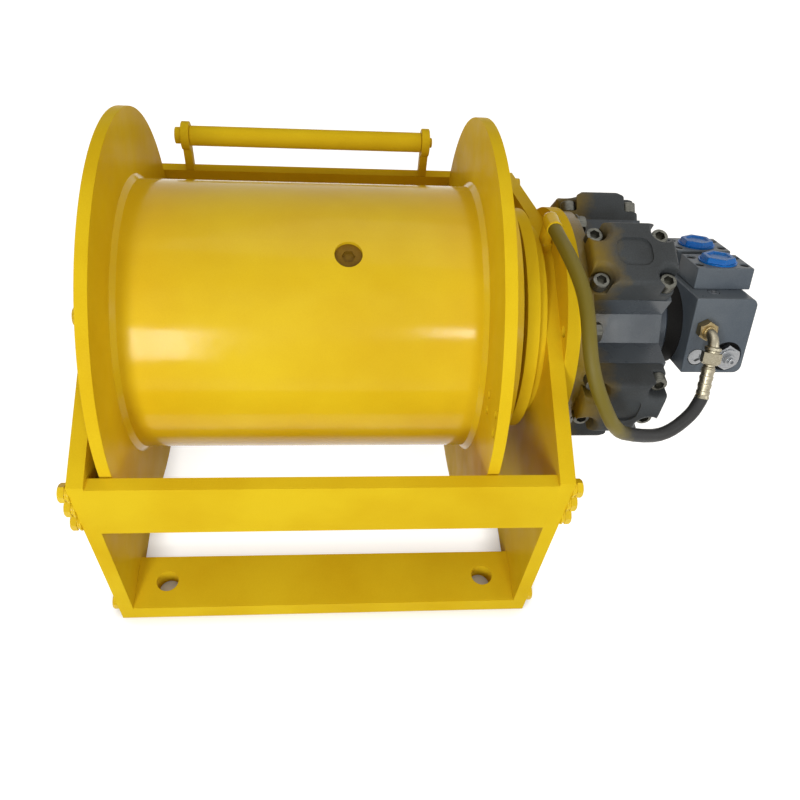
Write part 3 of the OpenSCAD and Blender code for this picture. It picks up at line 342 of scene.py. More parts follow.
def soften(item, width, segments=2, angle=32):
    """Rounds the edges that are sharper than the angle."""
    return modify(item, "BEVEL", width=width, segments=segments, limit_method="ANGLE",
                  angle_limit=math.radians(angle), harden_normals=False, miter_outer="MITER_SHARP")


def cut(item, tool, operation="DIFFERENCE"):
    """Joins or subtracts a tool, which is used up."""
    modify(item, "BOOLEAN", object=tool, operation=operation, solver="EXACT")
    bpy.data.objects.remove(tool)
    return item


def join(name, parts):
    """Makes one object of several."""
    if len(parts) > 1:
        pick(*parts)
        bpy.ops.object.join()
    else:
        pick(parts[0])
    return named(name)


def block(name, low, high):
    """A box between two corners."""
    low, high = Vector(low), Vector(high)
    bpy.ops.mesh.primitive_cube_add(size=1, location=(low + high) / 2)
    item = named(name)
    item.scale = high - low
    return settle(item)


def drum(name, radius, height, sides=48, base=0.0, top_radius=None):
    """A cylinder or cone that stands on z = base."""
    middle = (0, 0, base + height / 2)
    if top_radius is None:
        bpy.ops.mesh.primitive_cylinder_add(vertices=sides, radius=radius, depth=height, location=middle)
    else:
        bpy.ops.mesh.primitive_cone_add(vertices=sides, radius1=radius, radius2=top_radius, depth=height,
                                        location=middle)
    return settle(named(name))


def hull(name, parts):
    """The smallest convex shape round some parts."""
    item = join(name, parts)
    bpy.ops.object.mode_set(mode="EDIT")
    bpy.ops.mesh.select_all(action="SELECT")
    bpy.ops.mesh.convex_hull(use_existing_faces=False)
    bpy.ops.mesh.select_all(action="SELECT")
    bpy.ops.mesh.dissolve_limited(angle_limit=math.radians(0.5))
    bpy.ops.mesh.normals_make_consistent(inside=False)
    bpy.ops.object.mode_set(mode="OBJECT")
    return item


def corners(x, y):
    """The four places at plus and minus x and y."""
    return [(side * x, end * y) for side in (-1, 1) for end in (-1, 1)]


def rounded_plate(name, length, width, low, high, radius):
    """A plate with round corners, centred on x and y."""
    parts = []
    for x, y in corners(length / 2 - radius, width / 2 - radius):
        corner = drum("corner", radius, high - low, sides=32, base=low)
        parts.append(place(corner, Matrix.Translation((x, y, 0))))
    return hull(name, parts)


def round_bar(name, points, radius):
    """A round bar along points, as a curve."""
    data = bpy.data.curves.new(name, "CURVE")
    data.dimensions = "3D"
    data.bevel_depth = radius
    data.bevel_resolution = 6
    data.use_fill_caps = True
    line = data.splines.new("POLY")
    line.points.add(len(points) - 1)
    for point, where in zip(line.points, points):
        point.co = (*where, 1)
    return add_object(name, data)


def tube(name, points, radius):
    """A round bar along points, as a mesh."""
    pick(round_bar(name, points, radius))
    bpy.ops.object.convert(target="MESH")
    return named(name)


def in_metres(profile):
    """Rows of height and radius in mm, in metres."""
    return [(height * MM, radius * MM) for height, radius in profile]


def turned(name, rows, sides=40):
    """A turned piece on z from rows of height and radius."""
    parts = []
    for (low, first), (high, second) in zip(rows, rows[1:]):
        if high > low:
            parts.append(drum(name, first, high - low, sides, low, second))
    item = parts[0]
    for part in parts[1:]:
        cut(item, part, "UNION")
    return item


def cad_copy(node, name):
    """A merged copy of a CAD node's mesh with its flat faces joined."""
    item = add_object(name, NODES[node].data.copy())
    pick(item)
    bpy.ops.object.mode_set(mode="EDIT")
    bpy.ops.mesh.select_all(action="SELECT")
    bpy.ops.mesh.remove_doubles(threshold=0.01 * MM)
    bpy.ops.mesh.customdata_custom_splitnormals_clear()
    bpy.ops.mesh.dissolve_limited(angle_limit=math.radians(0.6))
    bpy.ops.object.mode_set(mode="OBJECT")
    return item


def finish(item, body, material):
    """Gives a piece its finish, its smooth shading and its body."""
    item.data.materials.clear()
    item.data.materials.append(material)
    pick(item)
    bpy.ops.object.shade_smooth_by_angle(angle=math.radians(32))
    modify(item, "WEIGHTED_NORMAL", weight=100, keep_sharp=True)
    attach(item, body)
    return item


def softened_node(node, width, material, segments=2):
    """Stands for a CAD node with the same shape and rounded edges."""
    item = soften(cad_copy(node, node + "_shaped"), width, segments)
    body = next(name for name, members in BODIES.items() if node in members)
    finish(item, body, material)
    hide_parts(node)
    return item


def radial(angle, x=0.0, out=0.0):
    """Frame on the drum axis: z points out at an angle over the front horizontal, x runs along the axis."""
    turn = Matrix.Rotation(math.radians(90 - angle), 4, "X")
    return Matrix.Translation((0, 0, AXIS_HEIGHT)) @ turn @ Matrix.Translation((x, 0, out))


def along(point, direction):
    """Frame at a point whose z runs along a direction."""
    turn = Vector(direction).to_track_quat("Z", "Y").to_matrix().to_4x4()
    return Matrix.Translation(Vector(point)) @ turn


# Small parts, each with its seat at z = 0
def hex_head(name, size, height):
    """A hex head with its corners turned off."""
    corner = size / math.cos(math.radians(30)) / 2
    body = drum(name, corner, height, sides=6)
    round_off = soften(drum("round_off", corner, height, sides=48), height * 0.22, 1)
    lower = drum("lower", corner * 1.2, height / 2, sides=6, base=-height / 4)
    cut(round_off, lower, "UNION")
    return cut(body, round_off, "INTERSECT")


def washer(name, radius, thickness):
    """A flat washer with eased edges."""
    return soften(drum(name, radius, thickness, sides=36), thickness * 0.25, 1)


def bolt(name, size, height, washer_radius, washer_height):
    """A hex bolt on a flat and a spring washer."""
    flat = washer("flat", washer_radius, washer_height * 0.45)
    spring = drum("spring", washer_radius * 0.82, washer_height * 0.5, sides=36, base=washer_height * 0.48)
    gap = block("gap", (0, -0.4 * MM, washer_height * 0.46), (washer_radius, 0.4 * MM, washer_height))
    cut(spring, gap)
    head = hex_head("head", size, height)
    place(head, Matrix.Translation((0, 0, washer_height)))
    return join(name, [head, spring, flat])


def socket_head(name, radius, height, socket, depth):
    """A socket head screw with a rounded rim and a hex hole."""
    body = soften(drum(name, radius, height, sides=40), height * 0.12, 2)
    hole = drum("hole", socket / math.cos(math.radians(30)) / 2, depth + MM, sides=6, base=height - depth)
    return cut(body, hole)


def copies(name, source, matrices):
    """Copies of one small part at several places, joined into one piece."""
    parts = []
    for matrix in matrices:
        item = add_object(name, source.data.copy())
        item.matrix_world = matrix
        parts.append(settle(item))
    bpy.data.objects.remove(source)
    return join(name, parts)


# Finishes
def new_surface(name):
    """A new material, its tree, its shader and the object's own coordinates."""
    material = bpy.data.materials.new(name)
    material.use_nodes = True
    tree = material.node_tree
    shader = next(n for n in tree.nodes if n.type == "BSDF_PRINCIPLED")
    where = tree.nodes.new("ShaderNodeTexCoord").outputs["Object"]
    return material, tree, shader, where


def noise(tree, where, scale, detail=3.0, rough=0.5):
    node = tree.nodes.new("ShaderNodeTexNoise")
    node.inputs["Scale"].default_value = scale
    node.inputs["Detail"].default_value = detail
    node.inputs["Roughness"].default_value = rough
    tree.links.new(where, node.inputs["Vector"])
    return node.outputs["Fac"]


def ramp(tree, value, low, high, out_low=0.0, out_high=1.0):
    node = tree.nodes.new("ShaderNodeMapRange")
    node.inputs["From Min"].default_value = low
    node.inputs["From Max"].default_value = high
    node.inputs["To Min"].default_value = out_low
    node.inputs["To Max"].default_value = out_high
    tree.links.new(value, node.inputs["Value"])
    return node.outputs["Result"]


def mix(tree, share, first, second):
    node = tree.nodes.new("ShaderNodeMix")
    node.data_type = "RGBA"
    tree.links.new(share, node.inputs["Factor"])
    for value, socket in ((first, node.inputs[6]), (second, node.inputs[7])):
        if isinstance(value, bpy.types.NodeSocket):
            tree.links.new(value, socket)
        else:
            socket.default_value = (*value, 1)
    return node.outputs[2]


def arithmetic(tree, operation, first, second):
    node = tree.nodes.new("ShaderNodeMath")
    node.operation = operation
    for value, socket in ((first, node.inputs[0]), (second, node.inputs[1])):
        if isinstance(value, bpy.types.NodeSocket):
            tree.links.new(value, socket)
        else:
            socket.default_value = value
    return node.outputs[0]


def bumps(tree, shader, layers):
    """Chains bump nodes: each layer is a height, its distance and its strength."""
    normal = None
    for height, distance, strength in layers:
        node = tree.nodes.new("ShaderNodeBump")
        node.inputs["Distance"].default_value = distance
        node.inputs["Strength"].default_value = strength
        tree.links.new(height, node.inputs["Height"])
        if normal is not None:
            tree.links.new(normal, node.inputs["Normal"])
        normal = node.outputs["Normal"]
    tree.links.new(normal, shader.inputs["Normal"])


def coordinate(tree, where, axis):
    node = tree.nodes.new("ShaderNodeSeparateXYZ")
    tree.links.new(where, node.inputs[0])
    return node.outputs[axis]


def painted(name, base, shade, rough_low, rough_high, gloss=0.3, ripple=60.0, ripple_depth=0.12 * MM,
            grain=900.0, overspray=None):
    """Paint with slow colour drift, a fine grain, orange peel and uneven gloss."""
    material, tree, shader, where = new_surface(name)
    drift = noise(tree, where, DRIFT_SCALE, 4.0)
    speck = noise(tree, where, grain, 2.0)
    tone = arithmetic(tree, "ADD", ramp(tree, drift, 0.35, 0.7, 0.0, 0.8),
                      ramp(tree, speck, 0.35, 0.7, 0.0, 0.25))
    colour = mix(tree, tone, base, shade)
    if overspray:
        start, end, tint = overspray
        blotch = noise(tree, where, MIST_SCALE, 4.0, 0.6)
        x = arithmetic(tree, "ADD", coordinate(tree, where, "X"),
                       ramp(tree, blotch, 0.3, 0.7, -MIST_EDGE, MIST_EDGE))
        colour = mix(tree, ramp(tree, x, start, end, 1.0, 0.0), colour, tint)
    tree.links.new(colour, shader.inputs["Base Color"])
    patch = noise(tree, where, GLOSS_SCALE, 4.0)
    tree.links.new(ramp(tree, patch, 0.3, 0.7, rough_low, rough_high), shader.inputs["Roughness"])
    shader.inputs["Specular IOR Level"].default_value = gloss
    bumps(tree, shader, [(noise(tree, where, ripple, 2.0), ripple_depth, 0.5), (speck, GRAIN_DEPTH, 0.4)])
    return material


def metal(name, base, shade, rough_low, rough_high, grain=240.0):
    """Metal with a fine drawn grain and dull patches."""
    material, tree, shader, where = new_surface(name)
    stretch = tree.nodes.new("ShaderNodeMapping")
    stretch.inputs["Scale"].default_value = (0.15, 1.0, 1.0)
    tree.links.new(where, stretch.inputs["Vector"])
    lines = noise(tree, stretch.outputs["Vector"], grain * 4, 3.0)
    patch = noise(tree, where, grain / 4, 4.0)
    tone = arithmetic(tree, "MULTIPLY", ramp(tree, lines, 0.3, 0.75), ramp(tree, patch, 0.3, 0.7, 0.3, 1.0))
    tree.links.new(mix(tree, tone, base, shade), shader.inputs["Base Color"])
    tree.links.new(ramp(tree, patch, 0.3, 0.7, rough_low, rough_high), shader.inputs["Roughness"])
    shader.inputs["Metallic"].default_value = 1.0
    bumps(tree, shader, [(lines, GRAIN_DEPTH, 0.35)])
    return material


def plain_body(name, base, shade, rough_low, rough_high, gloss=0.3, grain=500.0, overspray=None):
    """Moulded plastic, rubber or lining with a fine grain."""
    return painted(name, base, shade, rough_low, rough_high, gloss, ripple=180.0, ripple_depth=0.05 * MM,
                   grain=grain, overspray=overspray)


FINISHES = {}


def make_finishes():
    """Fills the table of finishes from the colours."""
    tints = colours()
    FINISHES["yellow_paint"] = painted("yellow_enamel", tints.enamel, tints.enamel_shade, 0.10, 0.20,
                                       gloss=0.13, ripple=95.0, ripple_depth=0.17 * MM)
    FINISHES["frame_paint"] = painted("frame_enamel", tints.enamel, tints.enamel_shade, 0.30, 0.46,
                                      gloss=0.01, ripple=75.0, ripple_depth=0.06 * MM)
    FINISHES["motor_paint"] = painted("motor_grey", tints.motor, tints.motor_light, 0.34, 0.56,
                                      gloss=0.12, ripple=260.0, ripple_depth=0.12 * MM,
                                      overspray=(268 * MM, 306 * MM, tints.overspray))
    # Smoother crankcase paint whose lighter grey is a painted reflection
    FINISHES["case_paint"] = painted("crankcase_grey", *CASE_SHEEN_GREYS, 0.18, 0.36, gloss=0.3, ripple=160.0,
                                     overspray=(266 * MM, 300 * MM, tints.overspray))
    FINISHES["block_paint"] = painted("block_grey", tints.block, tints.block_light, 0.26, 0.44,
                                      gloss=0.2, ripple=200.0, ripple_depth=0.06 * MM)
    FINISHES["bright_steel"] = metal("plated_steel", tints.steel, tints.steel_shade, 0.22, 0.42)
    FINISHES["fitting_metal"] = metal("fitting_steel", *FITTING_TONES, 0.28, 0.45)
    FINISHES["bronze"] = metal("bearing_bronze", *BRONZE_TONES, 0.3, 0.5)
    FINISHES["friction_lining"] = plain_body("brake_lining", *LINING_TONES, 0.7, 0.9)
    FINISHES["blue_plastic"] = plain_body("blue_plug", tints.plug, PLUG_SHADE, 0.22, 0.38, gloss=0.2)
    FINISHES["hose_rubber"] = plain_body("hose_cover", tints.rubber, RUBBER_SHADE, 0.42, 0.6,
                                         overspray=(300 * MM, 326 * MM, tints.hose_overspray))
    FINISHES["passivated"] = metal("passivated_brass", *BRASS_TONES, 0.28, 0.45)
    FINISHES["worn_screw"] = metal("worn_screw", *SCREW_TONES, 0.32, 0.55)
    FINISHES["rim_paint"] = painted("distributor_paint", *RIM_TONES, 0.25, 0.4,
                                    gloss=0.4, ripple=120.0, ripple_depth=0.08 * MM)
    # The drum plug's dark brown is painted shade of its hole
    FINISHES["plug_paint"] = plain_body("drum_plug_painted_shade", *DRUM_PLUG_SHADE_TONES, 0.3, 0.5, gloss=0.1)
    # Painted shade for the floors of holes and the groove before the block
    FINISHES["dark_hole"] = plain_body("painted_shade_black", *PAINTED_SHADE_BLACKS, 0.35, 0.6, gloss=0.02)


# Pieces
class WINCH_OT_nodes(bpy.types.Operator):
    """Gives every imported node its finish"""

    bl_idname = "winch.nodes"
    bl_label = "Node finishes"

    def execute(self, context):
        make_finishes()
        for name, node in NODES.items():
            for slot in node.material_slots:
                # The drum plug takes the dark brown of painted shade
                slot.material = FINISHES["plug_paint" if name == "drum_plug" else SLOTS[name]]
        return {"FINISHED"}


class WINCH_OT_plates(bpy.types.Operator):
    """Side plates, beams, base plates and guard lugs with rounded edges"""

    bl_idname = "winch.plates"
    bl_label = "Plates"

    def execute(self, context):
        for name in ("side_plate_left", "side_plate_right", "front_beam", "rear_beam", "base_plate_front",
                     "base_plate_rear", "guard_lugs", "guard_pin"):
            softened_node(name, sizes().plate_edge, FINISHES["frame_paint"])
        return {"FINISHED"}


class WINCH_OT_drum(bpy.types.Operator):
    """Drum flanges, support flange, mounting disc, left housing and guard tube with turned edges"""

    bl_idname = "winch.drum"
    bl_label = "Drum"

    def execute(self, context):
        for name in ("drum_flange_left", "drum_flange_right", "support_sleeve", "mount_disc",
                     "left_bearing_housing", "left_bearing_cover", "guard_tube"):
            softened_node(name, sizes().ring_edge, FINISHES["frame_paint"])
        return {"FINISHED"}


class WINCH_OT_frame_bolts(bpy.types.Operator):
    """Painted hex bolts with their washers"""

    bl_idname = "winch.frame_bolts"
    bl_label = "Frame bolts"

    def execute(self, context):
        s = sizes()
        places = []
        for y, z in bolt_places():
            for side in (-1, 1):
                places.append(along((side * PLATE_OUT, y, z), (side, 0, 0)))
        bolts = bolt("bolt", s.bolt_size, s.bolt_head, s.washer_size / 2, WASHER_HEIGHT)
        finish(copies("frame_bolt_heads", bolts, places), "frame", FINISHES["yellow_paint"])
        places = []
        for i in range(LEFT_BOLTS):
            here = radial(LEFT_BOLT_ANGLE + i * 360 / LEFT_BOLTS, -PLATE_OUT, LEFT_BOLT_RADIUS)
            places.append(along(here.translation, (-1, 0, 0)))
        bolts = bolt("bolt", s.left_bolt_size, s.left_bolt_head, s.washer_size / 2, WASHER_HEIGHT)
        finish(copies("left_bolt_heads", bolts, places), "frame", FINISHES["yellow_paint"])
        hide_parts("frame_bolts")
        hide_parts("left_housing_bolts")
        return {"FINISHED"}


class WINCH_OT_motor(bpy.types.Operator):
    """Crankcase, cylinder caps, cap screws and flange bolts"""

    bl_idname = "winch.motor"
    bl_label = "Motor"

    def execute(self, context):
        softened_node("motor_crankcase", sizes().ring_edge, FINISHES["case_paint"])
        casting = self.make_cap("cap_casting")
        for i, angle in enumerate(CYLINDER_ANGLES):
            cap = add_object(f"cylinder_cap_{i + 1}_cast", casting.data.copy())
            finish(place(cap, radial(angle, CYLINDER_X)), "frame", FINISHES["motor_paint"])
            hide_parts(f"cylinder_cap_{i + 1}")
        bpy.data.objects.remove(casting)
        screw = socket_head("screw", 9 * MM, 12 * MM, 10 * MM, 7 * MM)
        places = [radial(angle, CYLINDER_X, CAP_SEAT) @ Matrix.Translation((x, y, 0))
                  for angle in CYLINDER_ANGLES for x, y in corners(CAP_SCREW_X, CAP_SCREW_Y)]
        item = copies("cap_screw_heads", screw, places)
        finish(item, "frame", FINISHES["worn_screw"])
        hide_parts("cap_screws")
        bolts = bolt("bolt", 19 * MM, 8 * MM, 12 * MM, 2.5 * MM)
        places = []
        for angle in CYLINDER_ANGLES:
            here = radial(angle + MOTOR_BOLT_TURN, MOTOR_BOLT_X, MOTOR_BOLT_RADIUS)
            places.append(along(here.translation, (1, 0, 0)))
        item = copies("motor_bolt_heads", bolts, places)
        finish(item, "frame", FINISHES["worn_screw"])
        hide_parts("motor_flange_bolts")
        return {"FINISHED"}

    def make_cap(self, name):
        """A cast cylinder cap: a rounded raised face between four screw seats, with a bare recess."""
        cap = rounded_plate(name, CAP_LENGTH, CAP_WIDTH, CAP_LOW - 6 * MM, CAP_FACE, CAP_CORNER)
        soften(cap, sizes().cap_round, 4)
        for x, y in corners(CAP_SCREW_X, CAP_SCREW_Y):
            rows = [(CAP_SEAT, SEAT_RADIUS), (CAP_FACE - 5 * MM, SEAT_RADIUS),
                    (CAP_FACE + 1 * MM, SEAT_MOUTH)]
            pocket = turned("pocket", rows)
            edge = (math.copysign(SEAT_OPENING, x), math.copysign(SEAT_OPENING, y), CAP_FACE + 1 * MM)
            cut(pocket, block("outside", (0, 0, CAP_SEAT), edge), "UNION")
            cut(cap, place(pocket, Matrix.Translation((x, y, 0))))
        modify(cap, "REMESH", mode="VOXEL", voxel_size=CAST_GRID)
        modify(cap, "SMOOTH", factor=0.5, iterations=CAST_SMOOTHING)
        cut(cap, block("below", (-WIDE, -WIDE, CAP_LOW - 20 * MM), (WIDE, WIDE, CAP_LOW)))
        recess = rounded_plate("recess", RECESS_LENGTH, RECESS_WIDTH, CAP_FACE - RECESS_DEPTH,
                               CAP_FACE + 4 * MM, RECESS_CORNER)
        cut(cap, soften(recess, 0.8 * MM))
        clear = drum("clear", CASE_RADIUS, 40 * MM, sides=96)
        turn = Matrix.Translation((-CASE_BACK, 0, 0)) @ Matrix.Rotation(math.radians(90), 4, "Y")
        return cut(cap, place(clear, turn))


class WINCH_OT_valve(bpy.types.Operator):
    """Distributor, valve block, port flanges, plugs and screws"""

    bl_idname = "winch.valve"
    bl_label = "Valve block"

    def execute(self, context):
        self.make_distributor()
        self.make_block()
        for node, depth in zip(("port_block_near", "port_block_rear"), PORT_PLACES):
            self.make_flange(node, depth)
        self.make_plugs()
        self.make_bores()
        self.make_screws()
        self.make_relief()
        return {"FINISHED"}

    def make_distributor(self):
        """Round housing with a rim, and a groove before the block that is near black as painted shade."""
        turn = Matrix.Translation((CRANKCASE_END, 0, AXIS_HEIGHT)) @ Matrix.Rotation(math.radians(90), 4, "Y")
        item = soften(turned("distributor_rim", in_metres(RIM_PROFILE), sides=96), 0.5 * MM)
        finish(place(item, turn), "frame", FINISHES["rim_paint"])
        base = RIM_PROFILE[-1][0] * MM
        neck = drum("distributor_neck", NECK_RADIUS, BLOCK_START - CRANKCASE_END - base, sides=96, base=base)
        # The neck gets the near black of painted shade in the groove
        finish(place(neck, turn), "frame", FINISHES["dark_hole"])
        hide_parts("distributor_housing")

    def make_block(self):
        """Milled block with two round outer corners and sunk seats for its screws and the cartridge."""
        radius = sizes().block_corner
        low, high = -BLOCK_BACK, BLOCK_FRONT
        parts = [block("inner", (0, -BLOCK_BOTTOM, low), (20 * MM, BLOCK_TOP, high))]
        for t in (-BLOCK_BOTTOM + radius, BLOCK_TOP - radius):
            rod = drum("rod", radius, high - low, sides=48, base=low)
            parts.append(place(rod, Matrix.Translation((BLOCK_LENGTH - radius, t, 0))))
        item = soften(hull("valve_block_milled", parts), sizes().block_edge, 3)
        for seat, size, sides, sink in ((RELIEF, 18 * MM, 64, RELIEF_SINK),
                                        (FRONT_SCREW, 10.1 * MM, 48, SCREW_SINK)):
            pocket = drum("pocket", size, POCKET_HEIGHT, sides=sides, base=BLOCK_FRONT - sink)
            cut(item, place(pocket, Matrix.Translation((*seat, 0))))
        pocket = drum("pocket", 7.1 * MM, POCKET_HEIGHT, sides=40, base=-SCREW_SINK)
        cut(item, place(pocket, self.on_top(*TOP_SCREW)))
        finish(place(item, radial(BLOCK_TILT, BLOCK_START)), "frame", FINISHES["block_paint"])
        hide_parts("valve_block")

    def on_top(self, x, depth, height=0.0):
        """Frame on the upper face of the block, with z off that face."""
        return Matrix.Translation((x, BLOCK_TOP + height, depth)) @ Matrix.Rotation(math.radians(-90), 4, "X")

    def make_flange(self, node, depth):
        """Port flange with four tapped holes that have a small countersink."""
        item = block(node + "_milled", (-FLANGE_X, -FLANGE_Y, 0), (FLANGE_X, FLANGE_Y, FLANGE_HEIGHT))
        soften(item, 1.3 * MM, 3)
        rows = [(FLANGE_HEIGHT - PORT_HOLE_DEPTH, PORT_HOLE_RADIUS),
                (FLANGE_HEIGHT - COUNTERSINK_DEPTH, PORT_HOLE_RADIUS),
                (FLANGE_HEIGHT + 0.1 * MM, COUNTERSINK_RADIUS)]
        for x, y in corners(PORT_SCREW_X, PORT_SCREW_Y):
            cut(item, place(turned("hole", rows, sides=32), Matrix.Translation((x, y, 0))))
        place(item, radial(BLOCK_TILT, BLOCK_START) @ self.on_top(PORT_X, depth))
        finish(item, "frame", FINISHES["block_paint"])
        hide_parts(node)

    def make_screws(self):
        """Sunk socket screws in the front and the top of the block."""
        front = socket_head("front", 9.3 * MM, SCREW_SINK, 10 * MM, 2 * MM)
        place(front, Matrix.Translation((*FRONT_SCREW, BLOCK_FRONT - SCREW_SINK)))
        top = socket_head("top", 6.5 * MM, SCREW_SINK, 6 * MM, 2 * MM)
        place(top, self.on_top(*TOP_SCREW, height=-SCREW_SINK))
        item = place(join("block_screw_heads", [front, top]), radial(BLOCK_TILT, BLOCK_START))
        finish(item, "frame", FINISHES["bright_steel"])
        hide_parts("valve_block_screws")

    def make_bores(self):
        """Dark discs on the floors of the counterbores and of the tapped holes: painted shade."""
        parts = []
        for seat, radius, sink in ((RELIEF, 17.9 * MM, RELIEF_SINK), (FRONT_SCREW, 10 * MM, SCREW_SINK)):
            # Each disc is painted shade on a bore floor
            floor = drum("floor", radius, FLOOR_HEIGHT, sides=64)
            parts.append(place(floor, Matrix.Translation((*seat, BLOCK_FRONT - sink))))
        floor = drum("floor", 7 * MM, FLOOR_HEIGHT, sides=40)
        parts.append(place(floor, self.on_top(*TOP_SCREW, height=-SCREW_SINK)))
        for depth in PORT_PLACES:
            for x, y in corners(PORT_SCREW_X, PORT_SCREW_Y):
                floor = drum("floor", 4.5 * MM, FLOOR_HEIGHT, sides=32, base=-1.6 * MM)
                where = self.on_top(PORT_X, depth, FLANGE_HEIGHT)
                parts.append(place(floor, where @ Matrix.Translation((x, y, 0))))
        item = place(join("bore_floors", parts), radial(BLOCK_TILT, BLOCK_START))
        finish(item, "frame", FINISHES["dark_hole"])

    def make_relief(self):
        """Relief cartridge: a hex body, a lock nut and an adjusting stem with a socket."""
        body = hex_head("body", 26.4 * MM, 11 * MM)
        collar = soften(drum("collar", 11.5 * MM, 2.4 * MM, sides=40, base=10.6 * MM), 0.6 * MM)
        nut = place(hex_head("nut", 12 * MM, 4.6 * MM), Matrix.Translation((0, 0, 13 * MM)))
        stem = socket_head("stem", 4 * MM, 5 * MM, 3.6 * MM, 3 * MM)
        place(stem, Matrix.Translation((0, 0, 16 * MM)))
        item = join("relief_cartridge_turned", [body, collar, nut, stem])
        seat = radial(BLOCK_TILT, BLOCK_START, BLOCK_FRONT - RELIEF_SINK)
        place(item, seat @ Matrix.Translation((*RELIEF, 0)))
        finish(item, "frame", FINISHES["bright_steel"])
        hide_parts("relief_cartridge")

    def make_plugs(self):
        """Blue plugs: a round skirt under a hex with a dished top."""
        seat = radial(BLOCK_TILT, BLOCK_START)
        places = [seat @ self.on_top(PORT_X, depth, FLANGE_HEIGHT) for depth in PORT_PLACES]
        skirt = drum("skirt", 21.5 * MM, 1.6 * MM, sides=48)
        head = drum("head", 21 * MM, 7 * MM, sides=6, top_radius=18.5 * MM)
        soften(head, 1.0 * MM, 2, 20)
        dish = drum("dish", 12 * MM, 3 * MM, sides=6, base=5.2 * MM, top_radius=15 * MM)
        cut(head, dish)
        item = copies("blue_port_plugs", join("plug", [head, skirt]), places)
        finish(item, "frame", FINISHES["blue_plastic"])
        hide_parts("port_plugs")


class WINCH_OT_hose(bpy.types.Operator):
    """Brake hose on its route"""

    bl_idname = "winch.hose"
    bl_label = "Brake hose"

    def execute(self, context):
        s = sizes()
        route = smooth_route(HOSE_ROUTE)
        item = round_bar("brake_hose_cover", route, s.hose_size / 2)
        item.data.materials.append(FINISHES["hose_rubber"])
        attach(item, "frame")
        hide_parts("brake_hose")
        return {"FINISHED"}


class WINCH_OT_fittings(bpy.types.Operator):
    """Elbow fitting on the block and painted fitting on the plate"""

    bl_idname = "winch.fittings"
    bl_label = "Hose fittings"

    def execute(self, context):
        base = radial(BLOCK_TILT, BLOCK_START, BLOCK_FRONT) @ Matrix.Translation((*ADAPTER, 0))
        self.make_adapter(base)
        self.make_elbow(base)
        self.make_upper()
        return {"FINISHED"}

    def make_adapter(self, base):
        """Brass hexagon that is screwed into the front of the block."""
        ring = drum("ring", 9.5 * MM, 1.2 * MM)
        hexagon = place(hex_head("hexagon", 20 * MM, 11 * MM), Matrix.Translation((0, 0, 1.2 * MM)))
        neck = soften(drum("neck", 7.4 * MM, 3.5 * MM, base=11.5 * MM), 0.8 * MM)
        item = place(join("brass_adapter", [ring, hexagon, neck]), base)
        finish(item, "frame", FINISHES["passivated"])
        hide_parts("hose_fittings")

    def make_elbow(self, base):
        """Bent pipe with a collar, a nut and a crimped sleeve that holds the hose."""
        elbow = base @ Vector((0, 0, ADAPTER_REACH))
        start = Vector(HOSE_ROUTE[0]) * MM
        way = (start - elbow).normalized()
        foot = base @ Vector((0, 0, ELBOW_FOOT))
        end = elbow + way * ELBOW_END
        steps = [k / ELBOW_STEPS for k in range(ELBOW_STEPS + 1)]
        pipe = tube("pipe", [foot.lerp(elbow, t).lerp(elbow.lerp(end, t), t) for t in steps], ELBOW_RADIUS)
        collar = place(turned("collar", in_metres(COLLAR_PROFILE)), along(elbow, way))
        nut = place(hex_head("nut", 19.5 * MM, 13 * MM), along(elbow + way * NUT_START, way))
        length = (start - elbow).length
        rows = in_metres(SLEEVE_PROFILE)
        for k in range(CRIMPS):
            step = (length - SLEEVE_START) * k / CRIMPS + 33 * MM
            rows += [(step, 6.8 * MM), (step + 1 * MM, 7.5 * MM),
                     (step + 4 * MM, 7.5 * MM), (step + 5 * MM, 7 * MM)]
        rows.append((length + 1 * MM, 8.1 * MM))
        sleeve = place(turned("sleeve", rows), along(elbow, way))
        item = join("elbow_fitting", [pipe, collar, nut, sleeve])
        finish(item, "frame", FINISHES["fitting_metal"])

    def make_upper(self):
        """Painted fitting that ends the hose over the side plate."""
        last, knee = Vector(HOSE_ROUTE[-1]) * MM, Vector(UPPER_FITTING)
        way = (knee - last).normalized()
        length = (knee - last).length
        rows = [(-1 * MM, 8.6 * MM), (0.5 * MM, 8.9 * MM), (length - 4 * MM, 8.9 * MM), (length, 7.5 * MM)]
        sleeve = place(turned("sleeve", rows), along(last, way))
        foot = Vector((knee.x, knee.y, PLATE_TOP))
        stub = drum("stub", 7 * MM, knee.z - foot.z)
        place(stub, Matrix.Translation(foot))
        bpy.ops.mesh.primitive_uv_sphere_add(radius=8.4 * MM, location=knee, segments=32, ring_count=16)
        ball = settle(named("ball"))
        nut = place(hex_head("nut", 14.8 * MM, 11 * MM), Matrix.Translation(foot))
        item = join("upper_hose_fitting", [sleeve, stub, ball, nut])
        finish(item, "frame", FINISHES["yellow_paint"])


class WINCH_OT_stage(bpy.types.Operator):
    """Pale floor, soft lamps and the camera"""

    bl_idname = "winch.stage"
    bl_label = "Stage"

    def execute(self, context):
        make_camera()
        make_floor()
        make_lamps()
        return {"FINISHED"}


def bolt_places():
    """Depth and height of each frame bolt on one side."""
    places = []
    for y, top in BEAM_PLACES:
        places += [(y * MM, (top - BEAM_MIDDLE + i * BEAM_BOLT_STEP) * MM) for i in (-1, 0, 1)]
    for y in (-BASE_BOLT_Y, BASE_BOLT_Y):
        places += [((y + k * BASE_BOLT_STEP) * MM, BASE_BOLT_Z * MM) for k in (-1, 1)]
    return places


